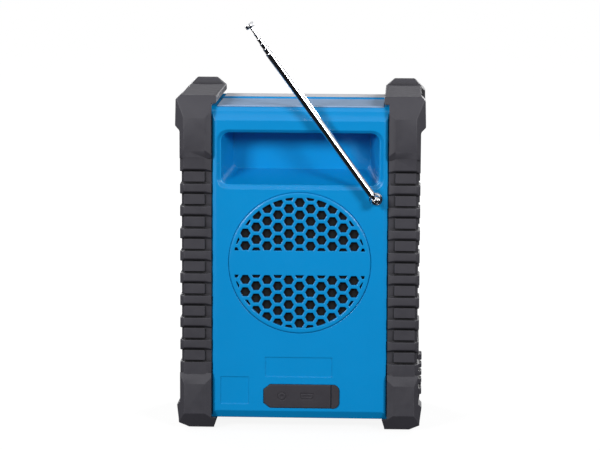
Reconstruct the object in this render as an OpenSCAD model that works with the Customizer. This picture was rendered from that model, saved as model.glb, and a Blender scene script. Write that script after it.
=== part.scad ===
// A compact jobsite radio that stands on its two side bumpers. The front faces -Y, the rear faces +Y
// and +Z is up. The origin is on the floor, at the centre of the radio's footprint.

/* [Body] */
// Width of the casing, under the bumpers
body_w = 172; // [168:1:184]
// Depth of the casing, front face to rear face
body_d = 112; // [110:1:124]
// Height of the casing's underside above the floor
body_z0 = 8.6; // [7.6:0.2:9]
// Height of the casing's top above the floor
body_z1 = 248.8; // [247:0.2:256]
// Wall of both shells
wall = 2.8; // [2.4:0.1:3.2]
// How far the casing steps in under the bumper posts
face_step = 3; // [2.5:0.1:3.5]
// Height of the chamfer along the casing's lower edges
low_chamfer_h = 6; // [4:0.5:6.5]
// Depth of the chamfer along the casing's lower edges
low_chamfer_d = 3.5; // [2.5:0.5:6]
// Height of the slope below the casing's top edges
top_slope_h = 10.7; // [9:0.1:14]
// Depth of the slope below the casing's top edges
top_slope_d = 4; // [3:0.5:5]
// How far forward of the middle the two shells meet
split_forward = 10; // [6:1:12]
// Height of the rib where the shells meet on top
top_rib_h = 1.5; // [1:0.1:2]
// Thickness of the grey strips on top
trim_t = 1.6; // [1.2:0.1:2]

/* [Handle pocket] */
// Width of the pocket's mouth
pocket_w = 126.6; // [118:0.2:128]
// Height of the pocket's mouth
pocket_h = 45.4; // [40:0.2:47]
// Depth of the pocket
pocket_d = 34; // [28:1:38]
// Height of the grip bar above the pocket
grip_h = 17.6; // [17:0.2:21]
// Corner radius of the pocket's mouth
pocket_r = 9; // [7:0.5:11]
// Slant of the pocket's side walls
pocket_side_slant = 10.5; // [8:0.5:13]
// Rise of the pocket's floor towards its back
pocket_floor_rise = 12; // [8:0.5:14]
// Chamfer round the pocket's mouth
pocket_lip = 2.4; // [1.6:0.2:3]

/* [Grilles] */
// Radius of each round grille
grille_r = 54.2; // [53.8:0.1:56]
// Radius of the part with holes
field_r = 50.5; // [49:0.5:51]
// Height of the plain bar across the rear grille
bar_h = 18.7; // [14:0.1:22]
// Distance between neighbouring holes
hex_pitch = 9.55; // [9:0.05:11]
// Width of one hole across its flats
hex_hole = 6.9; // [6:0.1:7.5]
// How far each grille stands proud of the casing
grille_proud = 1.2; // [0.8:0.1:1.6]
// Thickness of each grille
grille_t = 3; // [2.6:0.1:3.4]
// Height of the rear grille's centre above the floor
sub_z = 129.6; // [124:0.2:130]
// Height of the front grille's centre above the floor
speaker_z = 88; // [82:1:90]

/* [Bumpers] */
// Width of a bumper's front and rear posts
bumper_w = 24; // [22:0.5:25]
// Wall of a bumper over the casing's side
bumper_side = 5.1; // [4.8:0.1:6]
// How far the corner guards stand out sideways
guard_out = 3.7; // [2.5:0.1:4.5]
// How far the corner guards stand proud of the casing's faces
guard_proud = 5.5; // [5:0.1:5.8]
// How far the bands across the posts stand proud of the casing's faces
band_proud = 2.3; // [1.6:0.1:3]
// Depth of the trenches between the bands
trench_depth = 2.4; // [1.6:0.1:2.6]
// How much lower the pads lie than the bands
pad_below = 0.7; // [0.3:0.1:1]
// Distance from one pad to the next
pad_pitch = 17.2; // [16:0.1:17.4]
// Height of one pad
pad_h = 7.8; // [6:0.2:8.4]
// Height of the slope from a band down to the pad below it
pad_slope = 2.3; // [1.5:0.1:2.8]
// Height of the slot under each pad
pad_slot = 1.4; // [1:0.1:1.8]
// Number of pads on each post
pad_count = 9; // [7:1:9]
// Height of the bumpers' top bars over the casing's top
bar_over = 8.2; // [7.5:0.1:11]
// Height of the rim at a top bar's front end
rim_h = 5; // [2:0.5:6]

/* [Antenna] */
// Radius of the outermost tube
mast_r = 3; // [2.9:0.05:3.2]
// Difference in radius from one section to the next
mast_step = 0.4; // [0.38:0.01:0.42]
// Distance from the hinge pin to the end of the outermost tube
mast_len = 137; // [120:1:150]
// How much of each tube shows when the mast is pushed in
mast_show = 4.5; // [3:0.5:6]
// Radius of the end button
tip_r = 3.7; // [3.4:0.1:3.9]
// Lean of the mast from upright
mast_lean = 36; // [0:0.5:40]
// Distance of the hinge pin from the rear face
mast_off = 10; // [10:0.2:12]
// Distance of the swivel from the raised face's edge
mast_in = 9.2; // [9:0.2:11]
// Distance of the swivel below the pocket's mouth
mast_drop = 6.6; // [6.4:0.1:9]

/* [Ports] */
// Width of the rubber port cover
flap_w = 57.8; // [54:0.2:60]
// Height of the rubber port cover
flap_h = 18.2; // [17:0.2:20]
// Thickness of the rubber port cover
flap_t = 2.8; // [2.6:0.1:3.2]
// Height of the ports above the floor
port_z = 26.2; // [25.8:0.1:27]
// Radius of the round power socket's bore
dc_bore_r = 3.2; // [3:0.1:3.3]
// Radius of the sound socket's bore
aux_bore_r = 1.8; // [1.7:0.05:1.9]
// Length of the sound socket's bore
aux_len = 13; // [12:0.5:14]

/* [Controls] */
// Width of the control panel
panel_w = 122; // [118:1:124]
// Height of the control panel
panel_h = 78; // [76:1:80]
// Radius of the two knobs
knob_r = 10.5; // [9:0.5:11]
// Width of the display window
lcd_w = 64; // [58:1:66]
// Height of the display window
lcd_h = 30; // [26:1:31]
// Width of one key
key_w = 12; // [10:0.5:13]
// Height of one key
key_h = 7; // [6:0.5:8]
// Distance from one key to the next
key_pitch = 16; // [15:0.5:18]
// Travel of a key
key_travel = 1; // [0.8:0.1:1.2]

/* [Speakers] */
// Radius of each speaker's flange
driver_r = 50.8; // [50.6:0.1:51.2]
// Radius of each speaker's magnet
magnet_r = 28; // [24:0.5:30]
// Thickness of each speaker's magnet
magnet_t = 12; // [9:0.5:13]

/* [Battery] */
// Length of the battery pack
pack_l = 100; // [90:1:105]
// Width of the battery pack
pack_w = 50; // [44:1:52]
// Height of the battery pack
pack_h = 27; // [24:0.5:28]
// Length of the battery door
door_l = 62; // [58:1:66]
// Height of the battery door
door_h = 38; // [36:0.5:40]

/* [Clearances] */
// Gap between the bumpers and the casing
bumper_fit = 0.2; // [0.15:0.05:0.4]
// Gap between the casing's raised face and a bumper post
face_gap = 0.5; // [0.4:0.1:0.8]
// Gap round a piece that is set into a recess
set_fit = 0.2; // [0.15:0.05:0.3]
// Radial gap of a shaft or pin in its bore
run_fit = 0.08; // [0.06:0.01:0.1]
// Gap round a piece that moves in its opening
move_fit = 0.35; // [0.3:0.05:0.45]

/* [Hidden] */

$fn = 64;
round_fn = 32;             // facets round the corners of hulled shapes
fine_fn = 96;              // facets in the preview of large round pieces
eps = 0.01;
over = 1;                  // how far a cut runs past the surface that it opens
big = 400;

blue = [0.02, 0.5, 0.78];
charcoal = [0.27, 0.27, 0.29];
black = [0.08, 0.08, 0.09];
silver = [0.68, 0.69, 0.74];
chrome = [0.85, 0.85, 0.87];
board_green = [0.05, 0.35, 0.2];
steel = [0.6, 0.6, 0.62];
smoke = [0.1, 0.15, 0.2];
pale_green = [0.5, 0.6, 0.5];
brass = [0.8, 0.65, 0.3];

// Casing planes
rear_y = body_d / 2;
front_y = -body_d / 2;
split_y = -split_forward;
bumper_out_x = body_w / 2 + bumper_fit + bumper_side;
bumper_in_x = bumper_out_x - bumper_w;
face_x = bumper_in_x - face_gap;               // half width of the raised blue face
face_round = 3.2;                              // run of the rounding at the raised face's edge
face_edge = [0.5, 1];                          // run and height of the steep start of that rounding
top_edge = 2;                                  // chamfer where the top slopes meet the top
inner_y = rear_y - wall;
top_x = bumper_in_x - 4;                       // half width of the strips and the rib on top
rib_half = 2;                                  // half width of the rib on top
trim_proud = 0.4;                              // how far the strips stand proud of the top
trim_in = 1.5;                                 // distance of the strips from the top slopes
trim_y0 = front_y + top_slope_d + trim_in;
trim_y1 = rear_y - top_slope_d - trim_in;
trim_floor_z = body_z1 + trim_proud - trim_t;
gasket_in = 0.9;                               // distance of the seal from the casing's outside
gasket_w = 1;
gasket_half = 0.8;                             // half of the seal's depth, front to rear
gasket_fit = 0.1;
label_depth = 0.4;                             // shallow recesses for labels in the rear face
wide_label = [51, 15];
wide_label_at = [0.4, 48.8];
small_label = [21.5, 21];
small_label_at = [49.4, 30.3];

// Pocket
pocket_z1 = body_z1 - grip_h;
pocket_z0 = pocket_z1 - pocket_h;
pocket_back_y = rear_y - pocket_d;
pocket_back_r = 5;
pocket_top_slant = 1;
pocket_wall = 2.4;

// Antenna
mast_sections = 6;                             // five tubes and the end rod
mast_x = face_x - mast_in;
mast_z = pocket_z0 - mast_drop;
mast_y = rear_y + mast_off;
stud_r = 3;
stud_end = 1.5;                                // the stud stops this far before the ball's centre
collar_r = 5;
collar_t = 1.5;
collar_gap = 0.2;
ball_r = 4.1;
ball_flat = 0.3;                               // how much is cut off the ball's sides and back
tongue_t = 2.2;
tongue_r = 2.7;
tongue_half = 2.2;                             // half width of the tongue where it meets the tube
tongue_gap = 0.1;                              // gap on each side of the tongue in its slot
pin_r = 0.8;
pin_end = 0.5;                                 // how far the pin's ends lie below the ball's surface
tube_start = 5.4;
nut_r = 4.6;
nut_t = 3;
nut_gap = 0.9;                                 // gap between the nut and the casing's wall
tube_floor = 3;                                // closed length at the outermost tube's foot
tail_gap = 0.6;                                // the second section starts this far above that floor
section_tail = 6;                              // how much deeper each tube starts than the next one in
tip_t = 3.4;
tip_edge = [0.5, 0.7];                         // chamfers of the end button, inner and outer end
tip_bore = 1;                                  // depth of the end button's seat for the rod
rod_show = 5.4;
nut_y = inner_y - nut_gap - nut_t - mast_y;    // the nut's inner face, from the pin

// Ports, from the rear view's middle
dc_x = 13.2;
usb_x = -6;
aux_x = -20;
flap_x0 = 27.2;                                // free end of the cover
flap_x1 = flap_x0 - flap_w;                    // hinged end of the cover
flap_recess = 2;
flap_y0 = rear_y - flap_recess + set_fit;
flap_y1 = flap_y0 + flap_t;                    // outer face, which is where the cover bends
anchor_w = 6;                                  // fixed end of the cover
flap_gap = 0.4;                                // groove between the fixed end and the part that opens
flap_hinge_x = flap_x1 + anchor_w;
flap_corner = 4.5;
flap_nose = 5;                                 // length of the slanted corners at the free end
flap_nose_h = 8;                               // how much lower the free end is
flap_stud_r = 1.5;
flap_stud_z = 4;
flap_stud_head = 0.7;                          // how much wider the studs' inner ends are
flap_stud_head_t = 1.5;
mark_depth = 0.3;                              // engraving on the cover
ring_mark = [3.4, 2.7, 1.1];                   // radii of the round mark's ring and of its dot
plug_mark = [5, 2.6];                          // half size of the other mark's outline
plug_tongue_mark = [3, 0.6];
mark_line = 0.8;
port_floor_y = rear_y - flap_recess;
port_wall = 4;                                 // thickness behind the cover's recess
port_back_y = port_floor_y - port_wall;
port_depth = 14;                               // from the back of that wall to the board
port_board_y = port_back_y - port_depth;
port_block = [3, 1.5, 2.5];                    // how much wider, lower and higher it is than the cover
board_t = 1.6;
dc_body_r = 4.6;
dc_body_half = [4.8, 5.1];                     // half size of the power socket's square rear part
dc_pin_r = 1;
dc_floor = 4;                                  // depth of the power socket's floor over the board
dc_pin_sink = 1.2;
body_lap = 0.5;                                // how far a socket's rear part overlaps its nose
body_gap = 1.5;                                // gap from a socket's rear part to the wall
usb_w = 13.1;
usb_h = 5.7;
usb_wall = 0.4;
usb_tongue_t = 1.8;
usb_tongue_w = 11;
usb_tongue_drop = 0.6;                         // how far the tongue lies below the middle
usb_tongue_sink = 0.6;                         // how far its end lies below the socket's face
usb_back = 3;
aux_nose_r = 2.9;
aux_body = [6.4, 8];
socket_sink = 0.5;                             // how far the sockets' faces lie below the recess
port_face_y = port_floor_y - socket_sink;
port_post_x = [flap_x1 + 2.6, flap_x0 - 3];
port_post_rise = 8;                            // height of the posts over the ports
port_post_r = 1.8;
port_board_margin = 3;                         // from the posts to the board's ends
port_board_z = [port_z - flap_h / 2 + 0.1, port_z + port_post_rise + port_board_margin];

// Controls
panel_z1 = body_z1 - 17;
panel_z0 = panel_z1 - panel_h;
panel_t = 2.5;
panel_proud = 1;
panel_y0 = front_y - panel_proud;
panel_y1 = panel_y0 + panel_t;
panel_ledge = 4;
panel_post_r = 2.2;
panel_post_in = 8;                             // from the panel's edges to the posts behind it
lcd_z = panel_z1 - 8 - lcd_h / 2;
lcd_lip = 2;                                   // how far the panel laps behind the window
lcd_in = 0.5;                                  // how much smaller the display is, all round
lcd_gap = 0.4;                                 // gap between the panel and the display
knob_x = panel_w / 2 - 14;
knob_z = panel_z0 + 22;
knob_h = 9;
knob_gap = 0.5;
knob_wall = 2;                                 // width of the knob's rear rim
knob_hollow = 1.5;                             // depth of the hollow behind the knob
knob_edge = 1.2;
flute_r = 1;                                   // radius of the grooves round a knob
flute_out = 0.5;                               // how far outside the knob their centres lie
flute_step = 20;                               // angle between them
pointer = [1, 4.5, 0.5];                       // width, length and depth of the mark on a knob
key_z = panel_z0 + 26;
side_key_r = 5;
side_key_z = lcd_z;
key_proud = 1.8;
key_skirt = 0.9;
key_flange_t = 1;
key_stem_r = 1.5;
board_y = front_y + 9;                         // front side of the control board
board_in = 5;                                  // how much smaller the board is than the panel, all round
switch_size = 6;
switch_h = 3.4;
plunger_r = 1.5;
plunger_h = 0.8;
switch_top_y = board_y - switch_h - plunger_h;
key_rest_gap = 0.3;                            // gap left over a plunger when its key is down
key_stem_y = switch_top_y - key_travel - key_rest_gap;
encoder_size = 13;
encoder_t = 6;
bushing_r = 4.5;
bushing_proud = 0.4;
shaft_r = 3;
shaft_foot = 2;                                // the shaft stops this far before the board
shaft_seat = 2;                                // thickness of the knob over the shaft's end
shaft_y0 = panel_y0 - knob_gap - knob_h + shaft_seat;
shaft_y1 = board_y - shaft_foot;
window_t = 2;

// Main board
board_post_r = 3;
main_board_y = front_y + 26;
main_post_in = [4, 5];                         // from the board's edges to its posts
main_post_x = face_x - 4.5;
main_board_w = 2 * (main_post_x + main_post_in[0]);
main_board_z = [151, 219];
main_post_z = [main_board_z[0] + main_post_in[1], main_board_z[1] - main_post_in[1]];

// Drivers
cloth_t = 0.5;
cloth_in = 0.1;                                // how much smaller a cloth is than a speaker's flange
cloth_gap = 0.2;                               // gap between a cloth and the flange behind it
sub_face_y = rear_y + grille_proud - grille_t - cloth_t - cloth_gap;
speaker_face_y = -sub_face_y;
flange_t = 2;
driver_screw_r = 47.4;                         // the screws' distance from a speaker's axis
driver_hole_r = 44.6;
driver_rim_r = driver_r + 3.5;
driver_rim_t = 5;
ledge_y = sub_face_y - flange_t;               // the shelf that a flange is screwed to
coil_r = 13;
coil_wall = 0.5;
coil_drop = 3;                                 // how far the coil reaches below the basket
coil_slot = 0.6;                               // width of the magnet's gap outside the coil
pole_gap = 0.5;                                // width of that gap inside the coil
basket_depth = 22;
basket_wall = 1.2;
basket_floor = 2;                              // how much wider the basket's floor is than the magnet
basket_in = 2;                                 // run of the basket's step under its flange
basket_lip = 0.8;                              // depth of the seat for the surround
basket_gap = 0.3;
window_in_r = 20;
window_w = 16;                                 // width of the windows in the basket
window_step = 60;                              // angle between them
window_z = [3, 2.5];                           // from the basket's floor and from its flange
cone_depth = 14;
cone_wall = 0.7;
cone_lap = 1.6;                                // width of the cone's glued edge
cone_edge = 0.2;
cap_rise = 5.1;                                // height of the dust cap
cap_wall = 0.8;
cap_steps = 4;
cap_edge_y = 0.4 - cone_depth;
roll_r = 2.75;
roll_wall = 0.6;
roll_land = 1.9;                               // width of the surround's glued edge
roll_sink = 0.2;                               // depth of the surround's edge below the flange
roll_out_r = driver_hole_r - 0.2;
roll_mid_r = roll_out_r - roll_land - roll_r;
roll_in_r = roll_mid_r - roll_r;
roll_y = -roll_sink - roll_wall;
cone_r = roll_in_r - 0.1;

// The dust cap's outline, from the axis outwards
cap_arc = [for (i = [0:cap_steps]) let (u = i / cap_steps)
    [u * (coil_r - coil_wall), cap_edge_y + cap_rise * (1 - u * u)]];
pole_t = 4;                                    // thickness of the magnet's back plate
small_screw_r = 1.2;
small_head_r = 2.2;
small_head_t = 1.2;
small_gap = 0.15;

// Battery
tray_wall = 1.5;
pack_fit = 0.5;
bay_w = pack_w + 2 * tray_wall + 2 * pack_fit; // the tray's outer width
bay_h = pack_h + 2 * tray_wall + pack_fit;     // the tray's outer height
door_z0 = 20;
bay_z0 = door_z0 + (door_h - bay_h) / 2;
bay_x0 = -body_w / 2 + set_fit;
pack_x0 = bay_x0 + 1;
contact_l = 3.5;
bay_x1 = pack_x0 + pack_l + contact_l + tray_wall;
pack_z0 = bay_z0 + tray_wall;
contact_y = [-12, -4, 4, 12];
contact_w = 3;
contact_z = [6, 20];                           // from the pack's underside
latch_w = 18;                                  // finger notch in the pack's end
latch_h = 6;
latch_d = 3;
tray_foot = 4;                                 // width of the ribs under the tray
door_t = 4.2;
door_x = -bumper_out_x;                        // the door's outer face
door_hinge_x = door_x + door_t / 2;
door_hinge_y = -door_l / 2 + door_t / 2;
door_pin_r = 1;
door_pin_reach = 5;                            // how far the pin enters the bumper at each end
door_relief = [1.9, 0.8];                       // depth and width of the slope beside its hinge
door_frame = [5, 8];                           // bumper left thick beside, and above and below, the door
grip_proud = 2.4;                              // finger ridges on the door
grip_z = [[3, 8], [12, 15.5], [18, 21.5], [24, 27.5], [30, 35]];
grip_y = [18, 15, 4, 1];                       // their outline, from the door's free end
grip_root = 1;                                 // how deep the ridges start in the door

// Bumpers
guard_y = rear_y + guard_proud;
band_y = rear_y + band_proud;
pad_y = band_y - pad_below;
trench_y = band_y - trench_depth;
guard_x = bumper_out_x + guard_out;
panel_x = bumper_out_x - 1.2;                  // flat part of a bumper's side
inner_bevel_w = 4.8;
inner_land = 0.1;                              // flat at the foot of the inner bevel
band_bevel = [1.6, 3.2];                       // drop of a band's inner bevel, and run of its outer one
post_bevel = [0.8, 2.4];                       // the same, of the post between the bands
guard_bevel = [2, 7];                          // the same, of the corner guards
band_root = 0.2;                               // how deep a band starts in the post
pad_w = 16;
under_z = 1;                                   // underside of the bumpers
guard_high_y = band_y - 0.5;                   // where the guards' slopes meet the bands
guard_top_lean = 7;                            // how far the guards' faces lean in at the top
rim_run = [16, 15.5, 12.5, 8.5];               // the rim's foot, shoulder and top, from the guard's face
rim_shoulder = 0.6;                            // height of that shoulder, as a part of the rim's
flare_z = [10.2, 6.7];                         // where the guards' sides flare, below the bend
crown = [0.5, 3.2, 8.7];                       // the crown's outer edge: lean, drop and run
crown_in = 3.2;                                // run of the crown's inner edge
bar_land = [1, 3, 2];                          // top bars' inner edge: drop, foot and lap
guard_low_z1 = 44;
guard_low_z0 = 35.9;
guard_foot_z = 12.8;
guard_foot_d = 7;
low_edge = [[10.5, 0], [2.7, 3.7], [2.4, 7.6], [1.1, 17.7]]; // outer outline under a guard, from its corner
low_flare_z = 21.7;                            // where the lower guards' sides meet the post
sole_in = [[0, -0.4], [1.5, 2.5], [2, 0]];     // inner outline under the casing
guard_len = 26;                                // how far a corner guard reaches along the side
foot_r = 8;
foot_sink = 2;
foot_x = bumper_in_x + 11;
foot_y = 40;
guard_high_z0 = body_z1 - 39.7;
guard_high_z1 = body_z1 - 32.7;
guard_bend_z = body_z1 - 8.5;
bar_top_z = body_z1 + bar_over;
rim_top_z = bar_top_z + rim_h;
first_pad_z = body_z1 - 47.4;
bar_in_x = bumper_in_x - 3.8;                  // inner edge of the bars above and below the casing

// Fasteners
casing_screw_x = body_w / 2 - 10;
casing_screw_z = [64, body_z1 - 17];
boss_r = 5.6;
side_boss_r = 4.4;
bumper_head_r = 3.6;
bumper_head_t = 2;
bumper_head_sink = 0.3;
bumper_seat_x = panel_x - bumper_head_t - bumper_head_sink;
screw_r = 2;
screw_gap = 0.2;
screw_head_r = 3.8;
screw_head_t = 2.6;
head_gap = 0.4;
screw_seat_y = split_y + 24;
screw_tip_y = split_y - 20;
pilot_gap = 0.05;
side_screw_y = [30, -34];
side_screw_z = [80, 190];
side_screw_len = 10;                           // depth of the holes for the bumpers' screws
side_boss = 9;
screw_end_gap = 1;                             // gap between such a screw's end and its hole's

// Holes of the grilles
hex_column = hex_pitch * sqrt(3) / 2;
hex_first = 0.865 * hex_pitch;                 // the nearest row's distance from the middle of the bar
hex_reach = field_r + hex_pitch * 0.25;
hex_columns = floor(field_r / hex_column);
hex_rows = ceil(field_r / hex_pitch);
grille_edge = 1.2;                             // run of the rounding at a grille's edge
grille_edge_mid = [0.4, 0.35];

module extrude_x(x0, x1) translate([x0, 0, 0]) rotate([90, 0, 90]) linear_extrude(x1 - x0) children();
module extrude_y(y0, y1) translate([0, y1, 0]) rotate([90, 0, 0]) linear_extrude(y1 - y0) children();
module extrude_z(z0, z1) translate([0, 0, z0]) linear_extrude(z1 - z0) children();
module disc_y(r, y0, y1) translate([0, y0, 0]) rotate([-90, 0, 0]) cylinder(r = r, h = y1 - y0);
module rod_x(r, x0, x1) translate([x0, 0, 0]) rotate([0, 90, 0]) cylinder(r = r, h = x1 - x0);
module box(lo, hi) translate(lo) cube(hi - lo);
// A turned shape about the Y axis, from an outline of radius and Y
module turned() rotate([-90, 0, 0]) rotate_extrude($fn = fine_fn) children();
module both_sides() { children(); mirror([1, 0, 0]) children(); }
module rounded(w, h, r) offset(r) square([w - 2 * r, h - 2 * r], center = true);

// ---- Casing ----

// Side view of the casing, drawn in by a wall's thickness t
module side_view(t) polygon([
    [rear_y - t, body_z0 + low_chamfer_h + t / 3],
    [rear_y - t, body_z1 - top_slope_h - t / 3],
    [rear_y - top_slope_d - t, body_z1 - top_edge - t],
    [rear_y - top_slope_d - top_edge - t, body_z1 - t],
    [front_y + top_slope_d + top_edge + t, body_z1 - t],
    [front_y + top_slope_d + t, body_z1 - top_edge - t],
    [front_y + t, body_z1 - top_slope_h - t / 3],
    [front_y + t, body_z0 + low_chamfer_h + t / 3],
    [front_y + low_chamfer_d + t / 2, body_z0 + t],
    [rear_y - low_chamfer_d - t / 2, body_z0 + t]]);

// Plan of the casing: a wide raised face in the middle, stepped in beside it for the bumper posts
module plan(t) {
    quarter = [
        [body_w / 2 - t, rear_y - face_step - t],
        [face_x - t, rear_y - face_step - t],
        [face_x - t - face_edge[0], rear_y - face_edge[1] - t],
        [face_x - t - face_round, rear_y - t]];
    back = [for (p = quarter) [-p[0], p[1]]];
    ahead = [for (p = quarter) [-p[0], -p[1]]];
    right = [for (p = quarter) [p[0], -p[1]]];
    polygon(concat(quarter, [for (i = [3:-1:0]) back[i]], ahead, [for (i = [3:-1:0]) right[i]]));
}

module casing_solid(t) intersection() {
    extrude_x(-body_w / 2 + t, body_w / 2 - t) side_view(t);
    extrude_z(0, big) plan(t);
}

module casing_half(y0, y1) intersection() {
    difference() {
        casing_solid(0);
        casing_solid(wall);
    }
    box([-big, y0, 0], [big, y1, big]);
}

// The raised rib where the shells meet on top
module top_rib(y0, y1) box([-top_x, y0, body_z1 - wall], [top_x, y1, body_z1 + top_rib_h]);

// A thin plate with the outline of the pocket's mouth
module pocket_plate(y, grow) translate([0, y, 0]) extrude_y(0, eps)
    translate([0, (pocket_z0 + pocket_z1) / 2])
        rounded(pocket_w + 2 * grow, pocket_h + 2 * grow, pocket_r + grow, $fn = round_fn);

// A thin plate with the outline of the pocket's back
module pocket_back(y, grow) translate([0, y, 0]) extrude_y(0, eps)
    translate([0, (pocket_z0 + pocket_floor_rise + pocket_z1 - pocket_top_slant) / 2])
        rounded(pocket_w - 2 * pocket_side_slant + 2 * grow,
            pocket_h - pocket_floor_rise - pocket_top_slant + 2 * grow, pocket_back_r + grow, $fn = round_fn);

module pocket_cavity() {
    hull() {
        pocket_plate(rear_y + over, -pocket_lip);
        pocket_back(pocket_back_y, 0);
    }
    hull() {
        pocket_plate(rear_y + over, over);
        pocket_plate(rear_y - pocket_lip, -pocket_lip);
    }
}

module pocket_walls() hull() {
    pocket_plate(rear_y - pocket_lip, pocket_wall - pocket_lip / 2);
    pocket_back(pocket_back_y - pocket_wall, pocket_wall);
}

module screw_bosses(y0, y1) both_sides() for (z = casing_screw_z)
    translate([casing_screw_x, 0, z]) disc_y(boss_r, y0, y1);

module side_bosses(y) both_sides() for (z = side_screw_z)
    translate([0, y, z]) rod_x(side_boss_r, body_w / 2 - wall - side_boss, body_w / 2 - wall / 2);

module side_pilots(y) both_sides() for (z = side_screw_z)
    translate([0, y, z]) rod_x(screw_r + pilot_gap, body_w / 2 - side_screw_len, body_w / 2 + over);

// The seal between the shells, or with a gap around it the grooves that hold it
module gasket_ring(gap) difference() {
    gasket_block(gasket_in - gap, gasket_half + gap);
    gasket_block(gasket_in + gasket_w + gap, big);
}

// A block as wide and high as the casing, drawn in by some distance
module gasket_block(inside, half) box(
    [inside - body_w / 2, split_y - half, body_z0 + inside],
    [body_w / 2 - inside, split_y + half, body_z1 - inside]);

// The opening in the casing's side through which the battery pack slides
module battery_opening() box([-big, -bay_w / 2 - set_fit, bay_z0 - set_fit],
    [-body_w / 2 + wall + over, bay_w / 2 + set_fit, bay_z0 + bay_h + set_fit]);

// The shelf and rim that carry a speaker, around the axis, its face towards +Y
module driver_rim() difference() {
    disc_y(driver_rim_r, ledge_y - driver_rim_t, rear_y - wall / 2);
    disc_y(driver_hole_r, ledge_y - driver_rim_t - over, rear_y + over);
}

// What is cut away for a grille, the speaker behind it and its screws
module driver_pocket() {
    disc_y(grille_r + set_fit, rear_y + grille_proud - grille_t, rear_y + over);
    disc_y(driver_r + set_fit, ledge_y, rear_y);
    disc_y(driver_hole_r, ledge_y - driver_rim_t - over, rear_y);
    driver_screw_places() disc_y(small_screw_r + pilot_gap, ledge_y - driver_rim_t - over, ledge_y + over);
}

module driver_screw_places() for (a = [45:90:315])
    rotate([0, a, 0]) translate([driver_screw_r, 0, 0]) children();

// Outline of the port cover, round at its hinged end and slanted at its free end
module flap_outline(grow) translate([0, port_z]) hull() {
    for (s = [-1, 1]) translate([flap_x1 + flap_corner, s * (flap_h / 2 - flap_corner)])
        circle(flap_corner + grow, $fn = round_fn);
    translate([flap_x0 - flap_nose, 0]) square([eps, flap_h + 2 * grow], center = true);
    translate([flap_x0 - eps + grow, 0]) square([eps, flap_h - flap_nose_h + 2 * grow], center = true);
}

module flap_stud_places() for (s = [-1, 1])
    translate([flap_x1 + anchor_w / 2, 0, port_z + s * flap_stud_z]) children();

module port_holes() {
    translate([dc_x, 0, port_z]) disc_y(dc_body_r + set_fit, port_back_y - over, rear_y);
    translate([aux_x, 0, port_z]) disc_y(aux_nose_r + set_fit, port_back_y - over, rear_y);
    box([usb_x - usb_w / 2 - set_fit, port_back_y - over, port_z - usb_h / 2 - set_fit],
        [usb_x + usb_w / 2 + set_fit, rear_y, port_z + usb_h / 2 + set_fit]);
}

// A shallow recess for a label in the rear face
module label_recess(at, size) box(
    [at[0] - size[0] / 2, rear_y - label_depth, at[1] - size[1] / 2],
    [at[0] + size[0] / 2, rear_y + over, at[1] + size[1] / 2]);

// The thick part behind the port cover
module port_housing() box(
    [flap_x1 - port_block[0], port_back_y, port_z - flap_h / 2 - port_block[1]],
    [flap_x0 + port_block[0], rear_y - wall / 2, port_z + flap_h / 2 + port_block[2]]);

module main_board_places() both_sides() for (z = main_post_z) translate([main_post_x, 0, z]) children();

module rear_shell() color(blue) difference() {
    union() {
        casing_half(split_y, rear_y);
        top_rib(split_y, split_y + rib_half);
        intersection() {
            pocket_walls();
            casing_solid(wall / 2);
        }
        screw_bosses(split_y, rear_y - face_step - wall / 2);
        side_bosses(side_screw_y[0]);
        port_housing();
        for (x = port_post_x) translate([x, 0, port_z + port_post_rise])
            disc_y(port_post_r, port_board_y, port_back_y + over);
        translate([0, 0, sub_z]) driver_rim();
    }
    pocket_cavity();
    translate([0, 0, sub_z]) driver_pocket();
    extrude_y(port_floor_y, rear_y + over) flap_outline(set_fit);
    flap_stud_places() disc_y(flap_stud_r + run_fit, port_back_y - over, rear_y);
    port_holes();
    translate([-mast_x, 0, mast_z]) disc_y(stud_r + run_fit, inner_y - over, rear_y + over);
    both_sides() for (z = casing_screw_z) translate([casing_screw_x, 0, z]) {
        disc_y(screw_r + screw_gap, split_y - over, screw_seat_y + over);
        disc_y(screw_head_r + head_gap, screw_seat_y, rear_y);
    }
    side_pilots(side_screw_y[0]);
    gasket_ring(gasket_fit);
    trim_recess(split_y + rib_half, trim_y1);
    battery_opening();
    label_recess(wide_label_at, wide_label);
    label_recess(small_label_at, small_label);
}

module front_shell() color(blue) difference() {
    union() {
        casing_half(front_y, split_y);
        top_rib(split_y - rib_half, split_y);
        screw_bosses(front_y + face_step + wall / 2, split_y);
        side_bosses(side_screw_y[1]);
        translate([0, 0, speaker_z]) mirror([0, 1, 0]) driver_rim();
        main_board_places() disc_y(board_post_r, front_y + wall / 2, main_board_y);
    }
    panel_block(-set_fit, front_y - over, panel_y1);
    panel_block(panel_ledge, front_y, front_y + wall + over);
    translate([0, 0, speaker_z]) mirror([0, 1, 0]) driver_pocket();
    both_sides() for (z = casing_screw_z) translate([casing_screw_x, 0, z])
        disc_y(screw_r + pilot_gap, screw_tip_y - over, split_y + over);
    side_pilots(side_screw_y[1]);
    gasket_ring(gasket_fit);
    trim_recess(trim_y0, split_y - rib_half);
    battery_opening();
}

module shell_gasket() color(black) difference() {
    gasket_ring(0);
    battery_opening();
}

// The recess on top for a grey strip, and the strip that fills it
module trim_recess(y0, y1) box([-top_x, y0, trim_floor_z], [top_x, y1, body_z1 + over]);
module top_trim(y0, y1) box(
    [set_fit - top_x, y0 + set_fit, trim_floor_z],
    [top_x - set_fit, y1 - set_fit, body_z1 + trim_proud]);

module top_trim_rear() color(silver) top_trim(split_y + rib_half, trim_y1);
module top_trim_front() color(silver) top_trim(trim_y0, split_y - rib_half);

module machine_screw(length) {
    cylinder(r = screw_head_r, h = screw_head_t);
    translate([0, 0, -length]) cylinder(r = screw_r, h = length + eps);
}

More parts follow.
